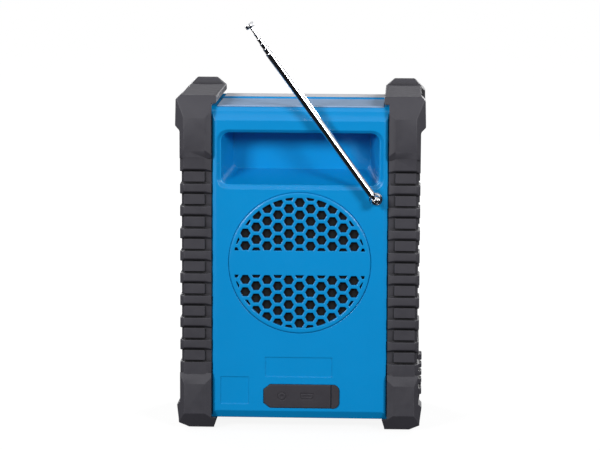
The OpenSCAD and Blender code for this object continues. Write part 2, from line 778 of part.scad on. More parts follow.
module casing_screws() color(steel) both_sides() for (z = casing_screw_z)
    translate([casing_screw_x, screw_seat_y, z]) rotate([-90, 0, 0])
        machine_screw(screw_seat_y - screw_tip_y);

// ---- Grilles ----

// Centres of the holes of one half, as columns that are staggered by half a pitch
function hex_centres() = [
    for (column = [-hex_columns:hex_columns], row = [0:hex_rows])
        let (x = column * hex_column, z = hex_first + (row + (column % 2 == 0 ? 0 : 0.5)) * hex_pitch)
            if (norm([x, z]) < hex_reach) [x, z]];

module barred_field() intersection() {
    difference() {
        circle(field_r);
        square([big, bar_h], center = true);
    }
    for (s = [-1, 1], c = hex_centres()) translate([c[0], s * c[1]]) circle(hex_hole / sqrt(3), $fn = 6);
}

module full_field() intersection() {
    circle(field_r);
    for (column = [-hex_columns:hex_columns], row = [-hex_rows:hex_rows])
        let (x = column * hex_column, z = (row + (column % 2 == 0 ? 0 : 0.5)) * hex_pitch)
            if (norm([x, z]) < hex_reach) translate([x, z]) circle(hex_hole / sqrt(3), $fn = 6);
}

// A disc with a rounded edge, its face at y = 0, facing +Y
module grille_disc() turned() polygon([
    [0, -grille_t], [grille_r, -grille_t], [grille_r, -grille_proud],
    [grille_r - grille_edge_mid[0], -grille_edge_mid[1]], [grille_r - grille_edge, 0], [0, 0]]);

module rear_grille() color(blue) translate([0, rear_y + grille_proud, sub_z]) difference() {
    grille_disc();
    extrude_y(-grille_t - over, over) barred_field();
}

module front_grille() color(charcoal) translate([0, front_y - grille_proud, speaker_z]) mirror([0, 1, 0])
    difference() {
        grille_disc();
        extrude_y(-grille_t - over, over) full_field();
    }

module cloth() disc_y(driver_r - cloth_in, -cloth_t, 0);

module grille_cloths() color(black) {
    translate([0, rear_y + grille_proud - grille_t, sub_z]) cloth();
    translate([0, front_y - grille_proud + grille_t, speaker_z]) mirror([0, 1, 0]) cloth();
}

// ---- Bumpers, drawn for the +X side ----

// Outline seen from above, of a level that reaches x on the side and y on the front and the rear.
// The bevel holds the drop of the inner bevel and the run of the outer one.
module bumper_plan(inner, x, y, bevel) {
    quarter = [
        [inner, y - bevel[0]],
        [bumper_in_x + inner_land, y - bevel[0]],
        [bumper_in_x + inner_bevel_w, y],
        [x - bevel[1], y],
        [x, y - bevel[1]]];
    polygon(concat(quarter, [for (i = [4:-1:0]) [quarter[i][0], -quarter[i][1]]]));
}

module band_side(z0, z1, slope) polygon([
    [band_y, z0], [band_y, z1], [-band_y, z1], [-band_y, z0],
    [band_root - trench_y, z0 - slope], [trench_y - band_root, z0 - slope]]);

// Side view of the top bar and the corner guards at its ends, with the rim at the front
module upper_guard_side() polygon([
    [guard_high_y, guard_high_z0], [guard_y, guard_high_z1], [guard_y, guard_bend_z],
    [guard_y - guard_top_lean, bar_top_z],
    [rim_run[0] - guard_y, bar_top_z], [rim_run[1] - guard_y, bar_top_z + rim_h * rim_shoulder],
    [rim_run[2] - guard_y, rim_top_z], [rim_run[3] - guard_y, rim_top_z],
    [-guard_y, guard_bend_z], [-guard_y, guard_high_z1], [-guard_high_y, guard_high_z0]]);

// The same from the rear, with the lap over the casing's top
module upper_guard_end() polygon([
    [bumper_in_x, guard_high_z0], [bumper_out_x, guard_high_z0],
    [bumper_out_x, guard_bend_z - flare_z[0]], [guard_x, guard_bend_z - flare_z[1]],
    [guard_x - crown[0], bar_top_z - crown[1]], [guard_x - crown[2], rim_top_z],
    [bumper_in_x + crown_in, rim_top_z], [bar_in_x, bar_top_z - bar_land[0]],
    [bar_in_x, body_z1 + bar_land[1]], [bar_in_x + 1, body_z1 + bar_land[2]],
    [bumper_in_x - inner_land, body_z1 + bar_land[2]], [bumper_in_x, body_z1 - 1]]);

module upper_guard() intersection() {
    extrude_x(0, big) upper_guard_side();
    extrude_y(-big, big) upper_guard_end();
    extrude_z(0, big) bumper_plan(bar_in_x - over, guard_x, guard_y, guard_bevel);
}

// Side view of the bottom bar and the corner guards at its ends
module lower_guard_side() polygon([
    [guard_high_y, guard_low_z1], [guard_y, guard_low_z0], [guard_y, guard_foot_z],
    [guard_y - guard_foot_d, under_z], [guard_foot_d - guard_y, under_z],
    [-guard_y, guard_foot_z], [-guard_y, guard_low_z0], [-guard_high_y, guard_low_z1]]);

// The same from the rear, with the lap under the casing
module lower_guard_end() polygon(concat(
    [[bumper_in_x, guard_low_z1], [bumper_in_x, body_z0 + 1]],
    [[bar_in_x + sole_in[0][0], body_z0 + 1 + sole_in[0][1]]],
    [for (p = [sole_in[1], sole_in[2]]) [bar_in_x + p[0], under_z + p[1]]],
    [for (p = low_edge) [guard_x - p[0], under_z + p[1]]],
    [[bumper_out_x, low_flare_z], [bumper_out_x, guard_low_z1]]));

module lower_guard() intersection() {
    extrude_x(0, big) lower_guard_side();
    extrude_y(-big, big) lower_guard_end();
    extrude_z(-over, big) bumper_plan(bar_in_x - over, guard_x, guard_y, guard_bevel);
}

// The guards and the bands stand out sideways only near the corners
module middle_of_side(x) box([x, guard_len - guard_y, -over], [big, guard_y - guard_len, big]);

// Lower end of band k's slope, and of the slot under pad k
function band_z(k) = first_pad_z - k * pad_pitch;
function slot_z(k) = band_z(k) - pad_slope - pad_h - pad_slot;

module bumper_bands() intersection() {
    extrude_x(0, big) {
        band_side(band_z(0), guard_high_z0 + over, pad_slope);
        for (k = [1:pad_count - 1]) band_side(band_z(k), slot_z(k - 1), pad_slope);
        band_side(guard_low_z1 - over, slot_z(pad_count - 1), 0);
    }
    extrude_z(0, big) bumper_plan(bumper_in_x, bumper_out_x, band_y, band_bevel);
}

module bumper_pads() for (k = [0:pad_count - 1], s = [0, 1]) mirror([0, s, 0])
    box([bumper_in_x + inner_bevel_w, trench_y - over, band_z(k) - pad_slope - pad_h],
        [bumper_in_x + inner_bevel_w + pad_w, pad_y, band_z(k) - pad_slope]);

module bumper_blank() difference() {
    union() {
        extrude_z(guard_low_z0, guard_high_z1) bumper_plan(bumper_in_x, panel_x, trench_y, post_bevel);
        difference() {
            bumper_bands();
            middle_of_side(panel_x);
        }
        bumper_pads();
        difference() {
            union() {
                upper_guard();
                lower_guard();
            }
            middle_of_side(bumper_out_x);
        }
    }
    casing_solid(-bumper_fit);
    box([0, -rear_y, body_z0 - bumper_fit], [bumper_in_x, rear_y, body_z1 + bumper_fit + over]);
    for (y = side_screw_y, z = side_screw_z) translate([0, y, z]) {
        rod_x(screw_r + screw_gap, bumper_in_x, big);
        rod_x(bumper_head_r + screw_gap, bumper_seat_x, big);
    }
    foot_places() translate([0, 0, under_z - over]) cylinder(r = foot_r + set_fit, h = foot_sink + over);
}

module foot_places() for (y = [-foot_y, foot_y]) translate([foot_x, y, 0]) children();

module bumper_right() color(charcoal) bumper_blank();

// Plan of the slope beside the hinge that lets the door swing past a right angle
module door_relief_plan() translate([door_x, -door_l / 2 - move_fit]) polygon([
    [door_relief[0], over], [door_relief[0], 0], [0, -door_relief[1]], [-over, -door_relief[1]], [-over, over]]);

module bumper_left() color(charcoal) difference() {
    union() {
        mirror([1, 0, 0]) bumper_blank();
        box([-bumper_out_x, -door_l / 2 - door_frame[0], door_z0 - door_frame[1]],
            [-body_w / 2 - bumper_fit, door_l / 2 + door_frame[0], door_z0 + door_h + door_frame[1]]);
    }
    box([-big, -door_l / 2 - move_fit, door_z0 - move_fit],
        [0, door_l / 2 + move_fit, door_z0 + door_h + move_fit]);
    extrude_z(door_z0 - move_fit, door_z0 + door_h + move_fit) door_relief_plan();
    translate([door_hinge_x, door_hinge_y, door_z0 - door_pin_reach - set_fit])
        cylinder(r = door_pin_r + run_fit, h = door_h + 2 * (door_pin_reach + set_fit));
}

module bumper_screws() color(steel) both_sides() for (y = side_screw_y, z = side_screw_z)
    translate([0, y, z]) {
        rod_x(bumper_head_r, bumper_seat_x, bumper_seat_x + bumper_head_t);
        rod_x(screw_r, body_w / 2 - side_screw_len + screw_end_gap, bumper_seat_x + eps);
    }

module foot_pads() color(black) both_sides() foot_places() cylinder(r = foot_r, h = under_z + foot_sink);

// ---- Telescopic antenna, built upright and then leaned over ----

module on_mast() translate([-mast_x, mast_y, mast_z]) rotate([0, mast_lean, 0]) children();

function section_r(k) = mast_r - (k - 1) * mast_step;
function section_z0(k) = tube_start + tube_floor + (k > 1 ? tail_gap : 0) + max(0, k - 2) * section_tail;
function section_z1(k) = mast_len + (k - 1) * mast_show;

module antenna_yoke() color(chrome) on_mast() difference() {
    union() {
        disc_y(stud_r, nut_y, -stud_end);
        disc_y(collar_r, -mast_off + collar_gap, -mast_off + collar_gap + collar_t);
        intersection() {
            sphere(ball_r);
            box([ball_flat - ball_r, -ball_r, -ball_r], [ball_r - ball_flat, ball_r - ball_flat, ball_r]);
        }
    }
    box([-tongue_t / 2 - tongue_gap, -tongue_r - move_fit, -tongue_r - move_fit],
        [tongue_t / 2 + tongue_gap, big, big]);
    rod_x(pin_r + run_fit, -big, big);
}

module antenna_nut() color(steel) on_mast() translate([0, nut_y, 0]) difference() {
    rotate([-90, 0, 0]) cylinder(r = nut_r, h = nut_t, $fn = 6);
    disc_y(stud_r, -over, nut_t + over);
}

module antenna_pin() color(steel) on_mast() rod_x(pin_r, pin_end - ball_r, ball_r - pin_end);

module antenna_tube_1() color(chrome) on_mast() difference() {
    union() {
        translate([0, 0, tube_start]) cylinder(r = mast_r, h = mast_len - tube_start);
        rod_x(tongue_r, -tongue_t / 2, tongue_t / 2);
        box([-tongue_t / 2, -tongue_half, 0], [tongue_t / 2, tongue_half, tube_start + over]);
    }
    translate([0, 0, section_z0(1)]) cylinder(r = section_r(2) + run_fit, h = big);
    rod_x(pin_r + run_fit, -big, big);
}

module section(k) on_mast() difference() {
    translate([0, 0, section_z0(k)]) cylinder(r = section_r(k), h = section_z1(k) - section_z0(k));
    translate([0, 0, section_z0(k) - over]) cylinder(r = section_r(k + 1) + run_fit, h = big);
}

module antenna_tube_2() color(chrome) section(2);
module antenna_tube_3() color(chrome) section(3);
module antenna_tube_4() color(chrome) section(4);
module antenna_tube_5() color(chrome) section(5);

// Where the end button starts, past the last tube's end
tip_z = section_z1(mast_sections - 1) + rod_show;

module antenna_rod() color(chrome) on_mast() translate([0, 0, section_z0(mast_sections)])
    cylinder(r = section_r(mast_sections), h = tip_z + tip_bore - section_z0(mast_sections));

module antenna_tip() color(chrome) on_mast() translate([0, 0, tip_z]) difference() {
    rotate_extrude() polygon([
        [0, 0], [tip_r - tip_edge[0], 0], [tip_r, tip_edge[0]],
        [tip_r, tip_t - tip_edge[1]], [tip_r - tip_edge[1], tip_t], [0, tip_t]]);
    translate([0, 0, -over]) cylinder(r = section_r(mast_sections), h = tip_bore + over);
}

// ---- Ports ----

module port_flap() color(charcoal) difference() {
    intersection() {
        extrude_y(flap_y0, flap_y1) flap_outline(0);
        box([flap_hinge_x + flap_gap / 2, 0, 0], [big, big, big]);
    }
    translate([dc_x, 0, port_z]) {
        difference() {
            disc_y(ring_mark[0], flap_y1 - mark_depth, big);
            disc_y(ring_mark[1], 0, big);
        }
        disc_y(ring_mark[2], flap_y1 - mark_depth, big);
    }
    translate([usb_x, 0, port_z]) {
        difference() {
            mark_block(plug_mark[0], plug_mark[1], flap_y1 - mark_depth);
            mark_block(plug_mark[0] - mark_line, plug_mark[1] - mark_line, 0);
        }
        mark_block(plug_tongue_mark[0], plug_tongue_mark[1], flap_y1 - mark_depth);
    }
}

module mark_block(half_w, half_h, y0) box([-half_w, y0, -half_h], [half_w, big, half_h]);

module port_flap_anchor() color(charcoal) {
    intersection() {
        extrude_y(flap_y0, flap_y1) flap_outline(0);
        box([-big, 0, 0], [flap_hinge_x - flap_gap / 2, big, big]);
    }
    flap_stud_places() {
        disc_y(flap_stud_r, port_back_y - set_fit, flap_y0 + eps);
        disc_y(flap_stud_r + flap_stud_head, port_back_y - set_fit - flap_stud_head_t, port_back_y - set_fit);
    }
}

module port_board() color(board_green) box(
    [port_post_x[0] - port_board_margin, port_board_y - board_t, port_board_z[0]],
    [port_post_x[1] + port_board_margin, port_board_y, port_board_z[1]]);

module power_socket() color(black) translate([dc_x, 0, port_z]) {
    difference() {
        union() {
            disc_y(dc_body_r, port_back_y - body_gap - body_lap, port_face_y);
            box([-dc_body_half[0], port_board_y, -dc_body_half[1]],
                [dc_body_half[0], port_back_y - body_gap, dc_body_half[1]]);
        }
        disc_y(dc_bore_r, port_board_y + dc_floor, big);
    }
    disc_y(dc_pin_r, port_board_y + dc_floor - over, port_face_y - dc_pin_sink);
}

module usb_socket() color(steel) translate([usb_x, 0, port_z]) {
    difference() {
        box([-usb_w / 2, port_board_y, -usb_h / 2], [usb_w / 2, port_face_y, usb_h / 2]);
        box([-usb_w / 2 + usb_wall, port_board_y + usb_back, -usb_h / 2 + usb_wall],
            [usb_w / 2 - usb_wall, big, usb_h / 2 - usb_wall]);
    }
    box([-usb_tongue_w / 2, port_board_y + usb_back - over, -usb_tongue_t / 2 - usb_tongue_drop],
        [usb_tongue_w / 2, port_face_y - usb_tongue_sink, usb_tongue_t / 2 - usb_tongue_drop]);
}

module sound_socket() color(black) translate([aux_x, 0, port_z]) difference() {
    union() {
        disc_y(aux_nose_r, port_back_y - body_gap - body_lap, port_face_y);
        box([-aux_body[0] / 2, port_board_y, -aux_body[1] / 2],
            [aux_body[0] / 2, port_back_y - body_gap, aux_body[1] / 2]);
    }
    disc_y(aux_bore_r, port_face_y - aux_len, big);
}

// ---- Controls ----

// A block the size of the control panel, drawn in by some distance
module panel_block(inside, y0, y1) box(
    [inside - panel_w / 2, y0, panel_z0 + inside], [panel_w / 2 - inside, y1, panel_z1 - inside]);

// A block the size of the display window, drawn in by some distance
module window_block(inside, y0, y1) box(
    [inside - lcd_w / 2, y0, lcd_z - lcd_h / 2 + inside],
    [lcd_w / 2 - inside, y1, lcd_z + lcd_h / 2 - inside]);

module key_opening(w, h) box(
    [-w / 2 - move_fit, -big, -h / 2 - move_fit], [w / 2 + move_fit, big, h / 2 + move_fit]);
module preset_places() for (k = [-1:1]) translate([k * key_pitch, 0, key_z]) children();
module side_key_places() both_sides() translate([knob_x, 0, side_key_z]) children();
module knob_places() both_sides() translate([knob_x, 0, knob_z]) children();

module control_panel() color(charcoal) {
    difference() {
        panel_block(0, panel_y0, panel_y1);
        window_block(-set_fit, -big, panel_y0 + window_t);
        window_block(lcd_lip, -big, big);
        preset_places() key_opening(key_w, key_h);
        side_key_places() disc_y(side_key_r + move_fit, -big, big);
        knob_places() disc_y(bushing_r + set_fit, -big, big);
    }
    control_posts() disc_y(panel_post_r, panel_y1 - eps, board_y);
}

module control_posts() both_sides() for (z = [panel_z0 + panel_post_in, panel_z1 - panel_post_in])
    translate([panel_w / 2 - panel_post_in, 0, z]) children();

module display_window() color(smoke) window_block(0, panel_y0, panel_y0 + window_t);
module lcd_module() color(pale_green) window_block(lcd_in, panel_y1 + lcd_gap, board_y);
module control_board() color(board_green) panel_block(board_in, board_y, board_y + board_t);

module key_switch() {
    box([-switch_size / 2, board_y - switch_h, -switch_size / 2],
        [switch_size / 2, board_y, switch_size / 2]);
    disc_y(plunger_r, switch_top_y, board_y - switch_h + eps);
}

module key_switches() color(black) {
    preset_places() key_switch();
    side_key_places() key_switch();
}

// The stem that a key pushes its switch with
module key_stem() disc_y(key_stem_r, panel_y1 + key_flange_t - eps, key_stem_y);

module preset_key(k) translate([k * key_pitch, 0, key_z]) {
    box([-key_w / 2, panel_y0 - key_proud, -key_h / 2], [key_w / 2, panel_y1 + eps, key_h / 2]);
    box([-key_w / 2 - key_skirt, panel_y1, -key_h / 2 - key_skirt],
        [key_w / 2 + key_skirt, panel_y1 + key_flange_t, key_h / 2 + key_skirt]);
    key_stem();
}

module side_key(s) translate([s * knob_x, 0, side_key_z]) {
    disc_y(side_key_r, panel_y0 - key_proud, panel_y1 + eps);
    disc_y(side_key_r + key_skirt, panel_y1, panel_y1 + key_flange_t);
    key_stem();
}

module power_key() color(silver) side_key(-1);
module mode_key() color(silver) side_key(1);
module preset_key_1() color(silver) preset_key(-1);
module preset_key_2() color(silver) preset_key(0);
module preset_key_3() color(silver) preset_key(1);

module encoder(s) translate([s * knob_x, 0, knob_z]) difference() {
    union() {
        box([-encoder_size / 2, board_y - encoder_t, -encoder_size / 2],
            [encoder_size / 2, board_y, encoder_size / 2]);
        disc_y(bushing_r, panel_y0 - bushing_proud, board_y - encoder_t + eps);
    }
    disc_y(shaft_r + run_fit, -big, shaft_y1 + move_fit);
}

module shaft(s) translate([s * knob_x, 0, knob_z]) disc_y(shaft_r, shaft_y0, shaft_y1);

// A knob, with its rear edge at the panel and its face towards the front
module knob(s) translate([s * knob_x, panel_y0 - knob_gap, knob_z]) mirror([0, 1, 0]) difference() {
    turned() polygon([
        [0, knob_hollow], [knob_r - knob_wall, knob_hollow], [knob_r - knob_wall, 0], [knob_r, 0],
        [knob_r, knob_h - knob_edge], [knob_r - knob_edge, knob_h], [0, knob_h]]);
    for (a = [0:flute_step:359]) rotate([0, a, 0]) translate([knob_r + flute_out, 0, 0])
        disc_y(flute_r, knob_hollow, big);
    disc_y(shaft_r, -over, knob_h - shaft_seat);
    translate([0, knob_h - pointer[2], knob_r - pointer[1] - over])
        translate([-pointer[0] / 2, 0, 0]) cube([pointer[0], big, pointer[1]]);
}

module volume_encoder() color(steel) encoder(1);
module tuning_encoder() color(steel) encoder(-1);
module volume_shaft() color(steel) shaft(1);
module tuning_shaft() color(steel) shaft(-1);
module volume_knob() color(black) knob(1);
module tuning_knob() color(black) knob(-1);

module main_board() color(board_green) box([-main_board_w / 2, main_board_y, main_board_z[0]],
    [main_board_w / 2, main_board_y + board_t, main_board_z[1]]);

// ---- Drivers, drawn round the Y axis with the face towards +Y at y = 0 ----

module basket() difference() {
    turned() polygon([
        [roll_out_r, 0], [driver_r, 0], [driver_r, -flange_t], [driver_hole_r - basket_gap, -flange_t],
        [magnet_r + basket_floor, basket_wall - basket_depth], [magnet_r + basket_floor, -basket_depth],
        [coil_r + coil_slot, -basket_depth], [coil_r + coil_slot, basket_wall - basket_depth],
        [magnet_r + coil_slot, basket_wall - basket_depth], [driver_hole_r - basket_in, -flange_t],
        [driver_hole_r - basket_in, -basket_lip], [roll_out_r, -basket_lip]]);
    for (a = [0:window_step:359]) rotate([0, a, 0])
        box([window_in_r, window_z[0] - basket_depth, -window_w / 2],
            [driver_r + over, -flange_t - window_z[1], window_w / 2]);
    driver_screw_places() {
        disc_y(small_screw_r + small_gap, -flange_t - over, over);
        disc_y(small_head_r + small_gap, -small_head_t - small_gap, over);
    }
}

// Trough-shaped rubber ring between the basket and the cone, glued to both along its flat edges
module surround() turned() difference() {
    union() {
        translate([roll_mid_r, roll_y]) circle(roll_r, $fn = 48);
        translate([roll_in_r - cone_lap, roll_y])
            square([roll_out_r - roll_in_r + cone_lap - set_fit, roll_wall]);
    }
    translate([roll_mid_r, roll_y]) circle(roll_r - roll_wall, $fn = 48);
    translate([roll_in_r, roll_y + roll_wall]) square([2 * roll_r, big]);
    translate([roll_in_r + roll_wall, roll_y]) square([2 * (roll_r - roll_wall), big]);
}

// The cone with its coil, and the dust cap over it
module cone() turned() {
    polygon([
        [roll_in_r - cone_lap, roll_y], [cone_r, roll_y], [cone_r, roll_y - cone_wall],
        [coil_r, -cone_depth - cone_wall], [coil_r, -basket_depth - coil_drop],
        [coil_r - coil_wall, -basket_depth - coil_drop], [coil_r - coil_wall, cap_edge_y],
        [roll_in_r - cone_lap, roll_y - cone_edge]]);
    polygon(concat(cap_arc, [for (i = [cap_steps:-1:0]) cap_arc[i] - [0, cap_wall]]));
}

module magnet() turned() polygon([
    [coil_r + coil_slot, -basket_depth], [magnet_r, -basket_depth], [magnet_r, -basket_depth - magnet_t],
    [0, -basket_depth - magnet_t], [0, over - basket_depth],
    [coil_r - pole_gap - coil_wall, over - basket_depth],
    [coil_r - pole_gap - coil_wall, pole_t - basket_depth - magnet_t],
    [coil_r + coil_slot, pole_t - basket_depth - magnet_t]]);

module rear_driver() translate([0, sub_face_y, sub_z]) children();
module front_driver() translate([0, speaker_face_y, speaker_z]) mirror([0, 1, 0]) children();

module subwoofer_basket() color(steel) rear_driver() basket();
module subwoofer_cone() color(black) rear_driver() cone();
module subwoofer_surround() color(black) rear_driver() surround();
module subwoofer_magnet() color(steel) rear_driver() magnet();
module speaker_basket() color(steel) front_driver() basket();
module speaker_cone() color(black) front_driver() cone();
module speaker_surround() color(black) front_driver() surround();
module speaker_magnet() color(steel) front_driver() magnet();

module set_of_four() driver_screw_places() {
    disc_y(small_head_r, -small_head_t, 0);
    disc_y(small_screw_r, -flange_t - driver_rim_t, -small_head_t + eps);
}

module driver_screws() color(steel) {
    rear_driver() set_of_four();
    front_driver() set_of_four();
}

// ---- Battery ----

module battery_tray() color(black) difference() {
    union() {
        box([bay_x0, -bay_w / 2, bay_z0], [bay_x1, bay_w / 2, bay_z0 + bay_h]);
        for (s = [0, 1]) mirror([0, s, 0])
            box([bay_x0 + wall + over, bay_w / 2 - tray_foot, body_z0 + wall],
                [bay_x1, bay_w / 2, bay_z0 + eps]);
    }
    box([-big, -bay_w / 2 + tray_wall, pack_z0],
        [bay_x1 - tray_wall, bay_w / 2 - tray_wall, bay_z0 + bay_h - tray_wall]);
}

module battery_pack() color(charcoal) difference() {
    box([pack_x0, -pack_w / 2, pack_z0], [pack_x0 + pack_l, pack_w / 2, pack_z0 + pack_h]);
    box([-big, -latch_w / 2, pack_z0 + pack_h - latch_h], [pack_x0 + latch_d, latch_w / 2, big]);
}

module battery_contacts() color(brass) for (y = contact_y)
    box([pack_x0 + pack_l, y - contact_w / 2, pack_z0 + contact_z[0]],
        [bay_x1 - tray_wall, y + contact_w / 2, pack_z0 + contact_z[1]]);

// Plan of one finger ridge on the door
module grip_plan() polygon([
    [door_x + grip_root, door_l / 2 - grip_y[0]], [door_x - grip_proud, door_l / 2 - grip_y[1]],
    [door_x - grip_proud, door_l / 2 - grip_y[2]], [door_x + grip_root, door_l / 2 - grip_y[3]]]);

module battery_door() color(charcoal) difference() {
    union() {
        box([door_x, door_hinge_y, door_z0], [door_x + door_t, door_l / 2, door_z0 + door_h]);
        translate([door_hinge_x, door_hinge_y, door_z0]) cylinder(r = door_t / 2, h = door_h);
        for (z = grip_z) extrude_z(door_z0 + z[0], door_z0 + z[1]) grip_plan();
    }
    translate([door_hinge_x, door_hinge_y, door_z0 - over]) cylinder(r = door_pin_r + run_fit, h = big);
}

module battery_door_pin() color(steel) translate([door_hinge_x, door_hinge_y, door_z0 - door_pin_reach])
    cylinder(r = door_pin_r, h = door_h + 2 * door_pin_reach);

rear_shell();
rear_grille();
front_shell();
front_grille();
grille_cloths();
top_trim_rear();
top_trim_front();
shell_gasket();
casing_screws();
bumper_left();
bumper_right();
bumper_screws();
foot_pads();
antenna_yoke();
antenna_nut();
antenna_pin();
antenna_tip();
port_flap();
port_flap_anchor();
port_board();
power_socket();
usb_socket();
sound_socket();
control_panel();
display_window();
lcd_module();
control_board();
key_switches();
volume_encoder();
tuning_encoder();
volume_shaft();
tuning_shaft();
volume_knob();
tuning_knob();
main_board();
subwoofer_basket();
subwoofer_cone();
subwoofer_surround();
subwoofer_magnet();
speaker_basket();
speaker_cone();
speaker_surround();
speaker_magnet();
driver_screws();
battery_tray();
battery_pack();
battery_contacts();
battery_door();
battery_door_pin();
power_key();
mode_key();
preset_key_1();
preset_key_2();
preset_key_3();
antenna_tube_1();
antenna_tube_2();
antenna_tube_3();
antenna_tube_4();
antenna_tube_5();
antenna_rod();
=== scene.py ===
"""Looks of the jobsite radio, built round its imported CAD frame.

Every piece stands in the row frame, in metres: the front faces -Y, the rear faces +Y, +Z is up and the
origin is on the floor. Sizes are written in millimetres, and mm() turns them to metres.
"""
import logging
import math
from dataclasses import dataclass, field
from enum import Enum
from functools import partial
from typing import Sequence

import bmesh
import bpy
from mathutils import Matrix, Quaternion, Vector
from mathutils.bvhtree import BVHTree
from mathutils.kdtree import KDTree


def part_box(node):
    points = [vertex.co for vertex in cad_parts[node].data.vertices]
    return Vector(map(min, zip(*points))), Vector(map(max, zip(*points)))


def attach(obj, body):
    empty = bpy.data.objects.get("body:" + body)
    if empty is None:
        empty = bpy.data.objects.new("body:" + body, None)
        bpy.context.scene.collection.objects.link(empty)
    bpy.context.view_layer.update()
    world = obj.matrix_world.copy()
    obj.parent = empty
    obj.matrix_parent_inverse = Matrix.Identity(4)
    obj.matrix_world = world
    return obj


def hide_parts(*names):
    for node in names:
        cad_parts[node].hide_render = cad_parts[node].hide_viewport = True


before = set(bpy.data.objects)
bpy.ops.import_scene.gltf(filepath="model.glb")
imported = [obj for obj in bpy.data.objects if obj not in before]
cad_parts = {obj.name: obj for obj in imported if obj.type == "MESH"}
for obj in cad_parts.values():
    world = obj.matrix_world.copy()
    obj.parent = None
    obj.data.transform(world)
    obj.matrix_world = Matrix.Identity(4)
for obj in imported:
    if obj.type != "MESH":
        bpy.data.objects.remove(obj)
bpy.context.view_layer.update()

log = logging.getLogger("radio")

MM_PER_M = 1000.0
TINY = 1e-6                         # lengths below this count as none, and none is divided by

# How moulded edges are rounded
WELD_MM = 0.004                     # points closer than this are one
FLAT_ANGLE = math.radians(0.4)      # faces that meet below this angle are one flat face
SHARP_ANGLE = math.radians(28)      # edges over this angle are rounded
ROOM_SHARE = 0.45                   # share of the room beside an edge that its rounding may take
STRAY_SHARE = 0.45                  # share of its width by which a rounding may leave the surface
FOLDED = -0.5                       # cosine to the surface below which a face counts as folded over
STRAY_REACH = (3.0, 2.5)            # a fault narrows the edges within this many widths plus gaps of it
NARROWER = 0.4                      # what a faulty rounding's width is multiplied by
WIDEST_CORNER = 3.1                 # angle between two edges, in radians, is taken as at most this
LEAST_SLANT = 0.3                   # sine of that angle is taken as at least this beside a rounding
COARSE, FINE = 2, 3                 # facets across a rounding
LARGE_FACE_WEIGHT = 75              # how much large faces rule the shading, 1 to 100

SMOOTH_ANGLE = math.radians(40)     # edges of built pieces below this angle are shaded smooth
NOISE_LOW, NOISE_HIGH = 0.3, 0.7    # where nearly all values of a noise texture lie
PATCH_MM = 6.0                      # size of the rubbed and glossy patches
RUBBED_FROM = 0.35                  # noise value at which a patch starts to be rubbed
LEAST_WEAR = 0.2                    # wear outside the rubbed patches, as a part of the full wear
BAND = math.tau / 20                # width of one band of a wave texture at scale 1
WORN_COSINES = (0.985, 0.8)         # turn of the rounded normal where wear starts, and where it is full
OPEN_SHARES = (0.97, 0.5)           # open part of the sky where the painted shade in grooves starts, and where it is full

Point = tuple[float, float]
Point3 = tuple[float, float, float]


# ---------------------------------------------------------------- units and colours

def mm(value: float) -> float:
    """Returns a length in millimetres as metres."""
    return value / MM_PER_M


def per_mm(size: float) -> float:
    """Returns the texture scale at which a pattern repeats every size millimetres."""
    return MM_PER_M / size


def linear(hex_colour: str) -> tuple[float, float, float, float]:
    """Turns an sRGB hex colour into linear light.

    Args:
        hex_colour: Six hex digits after a hash.

    Returns:
        Red, green and blue in linear light, and an alpha of 1.
    """
    channels = [int(hex_colour[i:i + 2], 16) / 255 for i in (1, 3, 5)]
    light = [c / 12.92 if c <= 0.04045 else ((c + 0.055) / 1.055) ** 2.4 for c in channels]
    return light[0], light[1], light[2], 1.0


# ---------------------------------------------------------------- finishes

def add_node(tree: bpy.types.NodeTree, kind: str, settings: dict[str | int, object] | None = None,
             links: dict[str | int, bpy.types.NodeSocket] | None = None) -> bpy.types.Node:
    """Adds one shader node with its settings and links.

    Args:
        tree: The material's or world's node tree.
        kind: The node's Blender type name.
        settings: Values by property name, or by input name or number.
        links: Output sockets of other nodes, by the input that they feed.

    Returns:
        The new node.
    """
    node = tree.nodes.new(kind)
    for key, value in (settings or {}).items():
        if isinstance(key, int) or key in node.inputs:
            node.inputs[key].default_value = value
        else:
            setattr(node, key, value)
    for key, socket in (links or {}).items():
        tree.links.new(socket, node.inputs[key])
    return node


def blank_material(name: str) -> bpy.types.Material:
    """Returns a new material with an empty node tree."""
    made = bpy.data.materials.new(name)
    made.use_nodes = True
    made.node_tree.nodes.clear()
    return made


@dataclass(frozen=True)
class Surface:
    """What every finish has: one material, which its pieces share.

    Attributes:
        name: The material's name.
    """

    name: str

    def material(self) -> bpy.types.Material:
        """Returns the material, which is made once and then shared."""
        made = bpy.data.materials.get(self.name)
        if made is None:
            made = blank_material(self.name)
            self.lay_out(made.node_tree)
        return made

    def lay_out(self, tree: bpy.types.NodeTree) -> None:
        """Lays out the material's nodes. Each kind of finish does it in its own way."""
        raise NotImplementedError


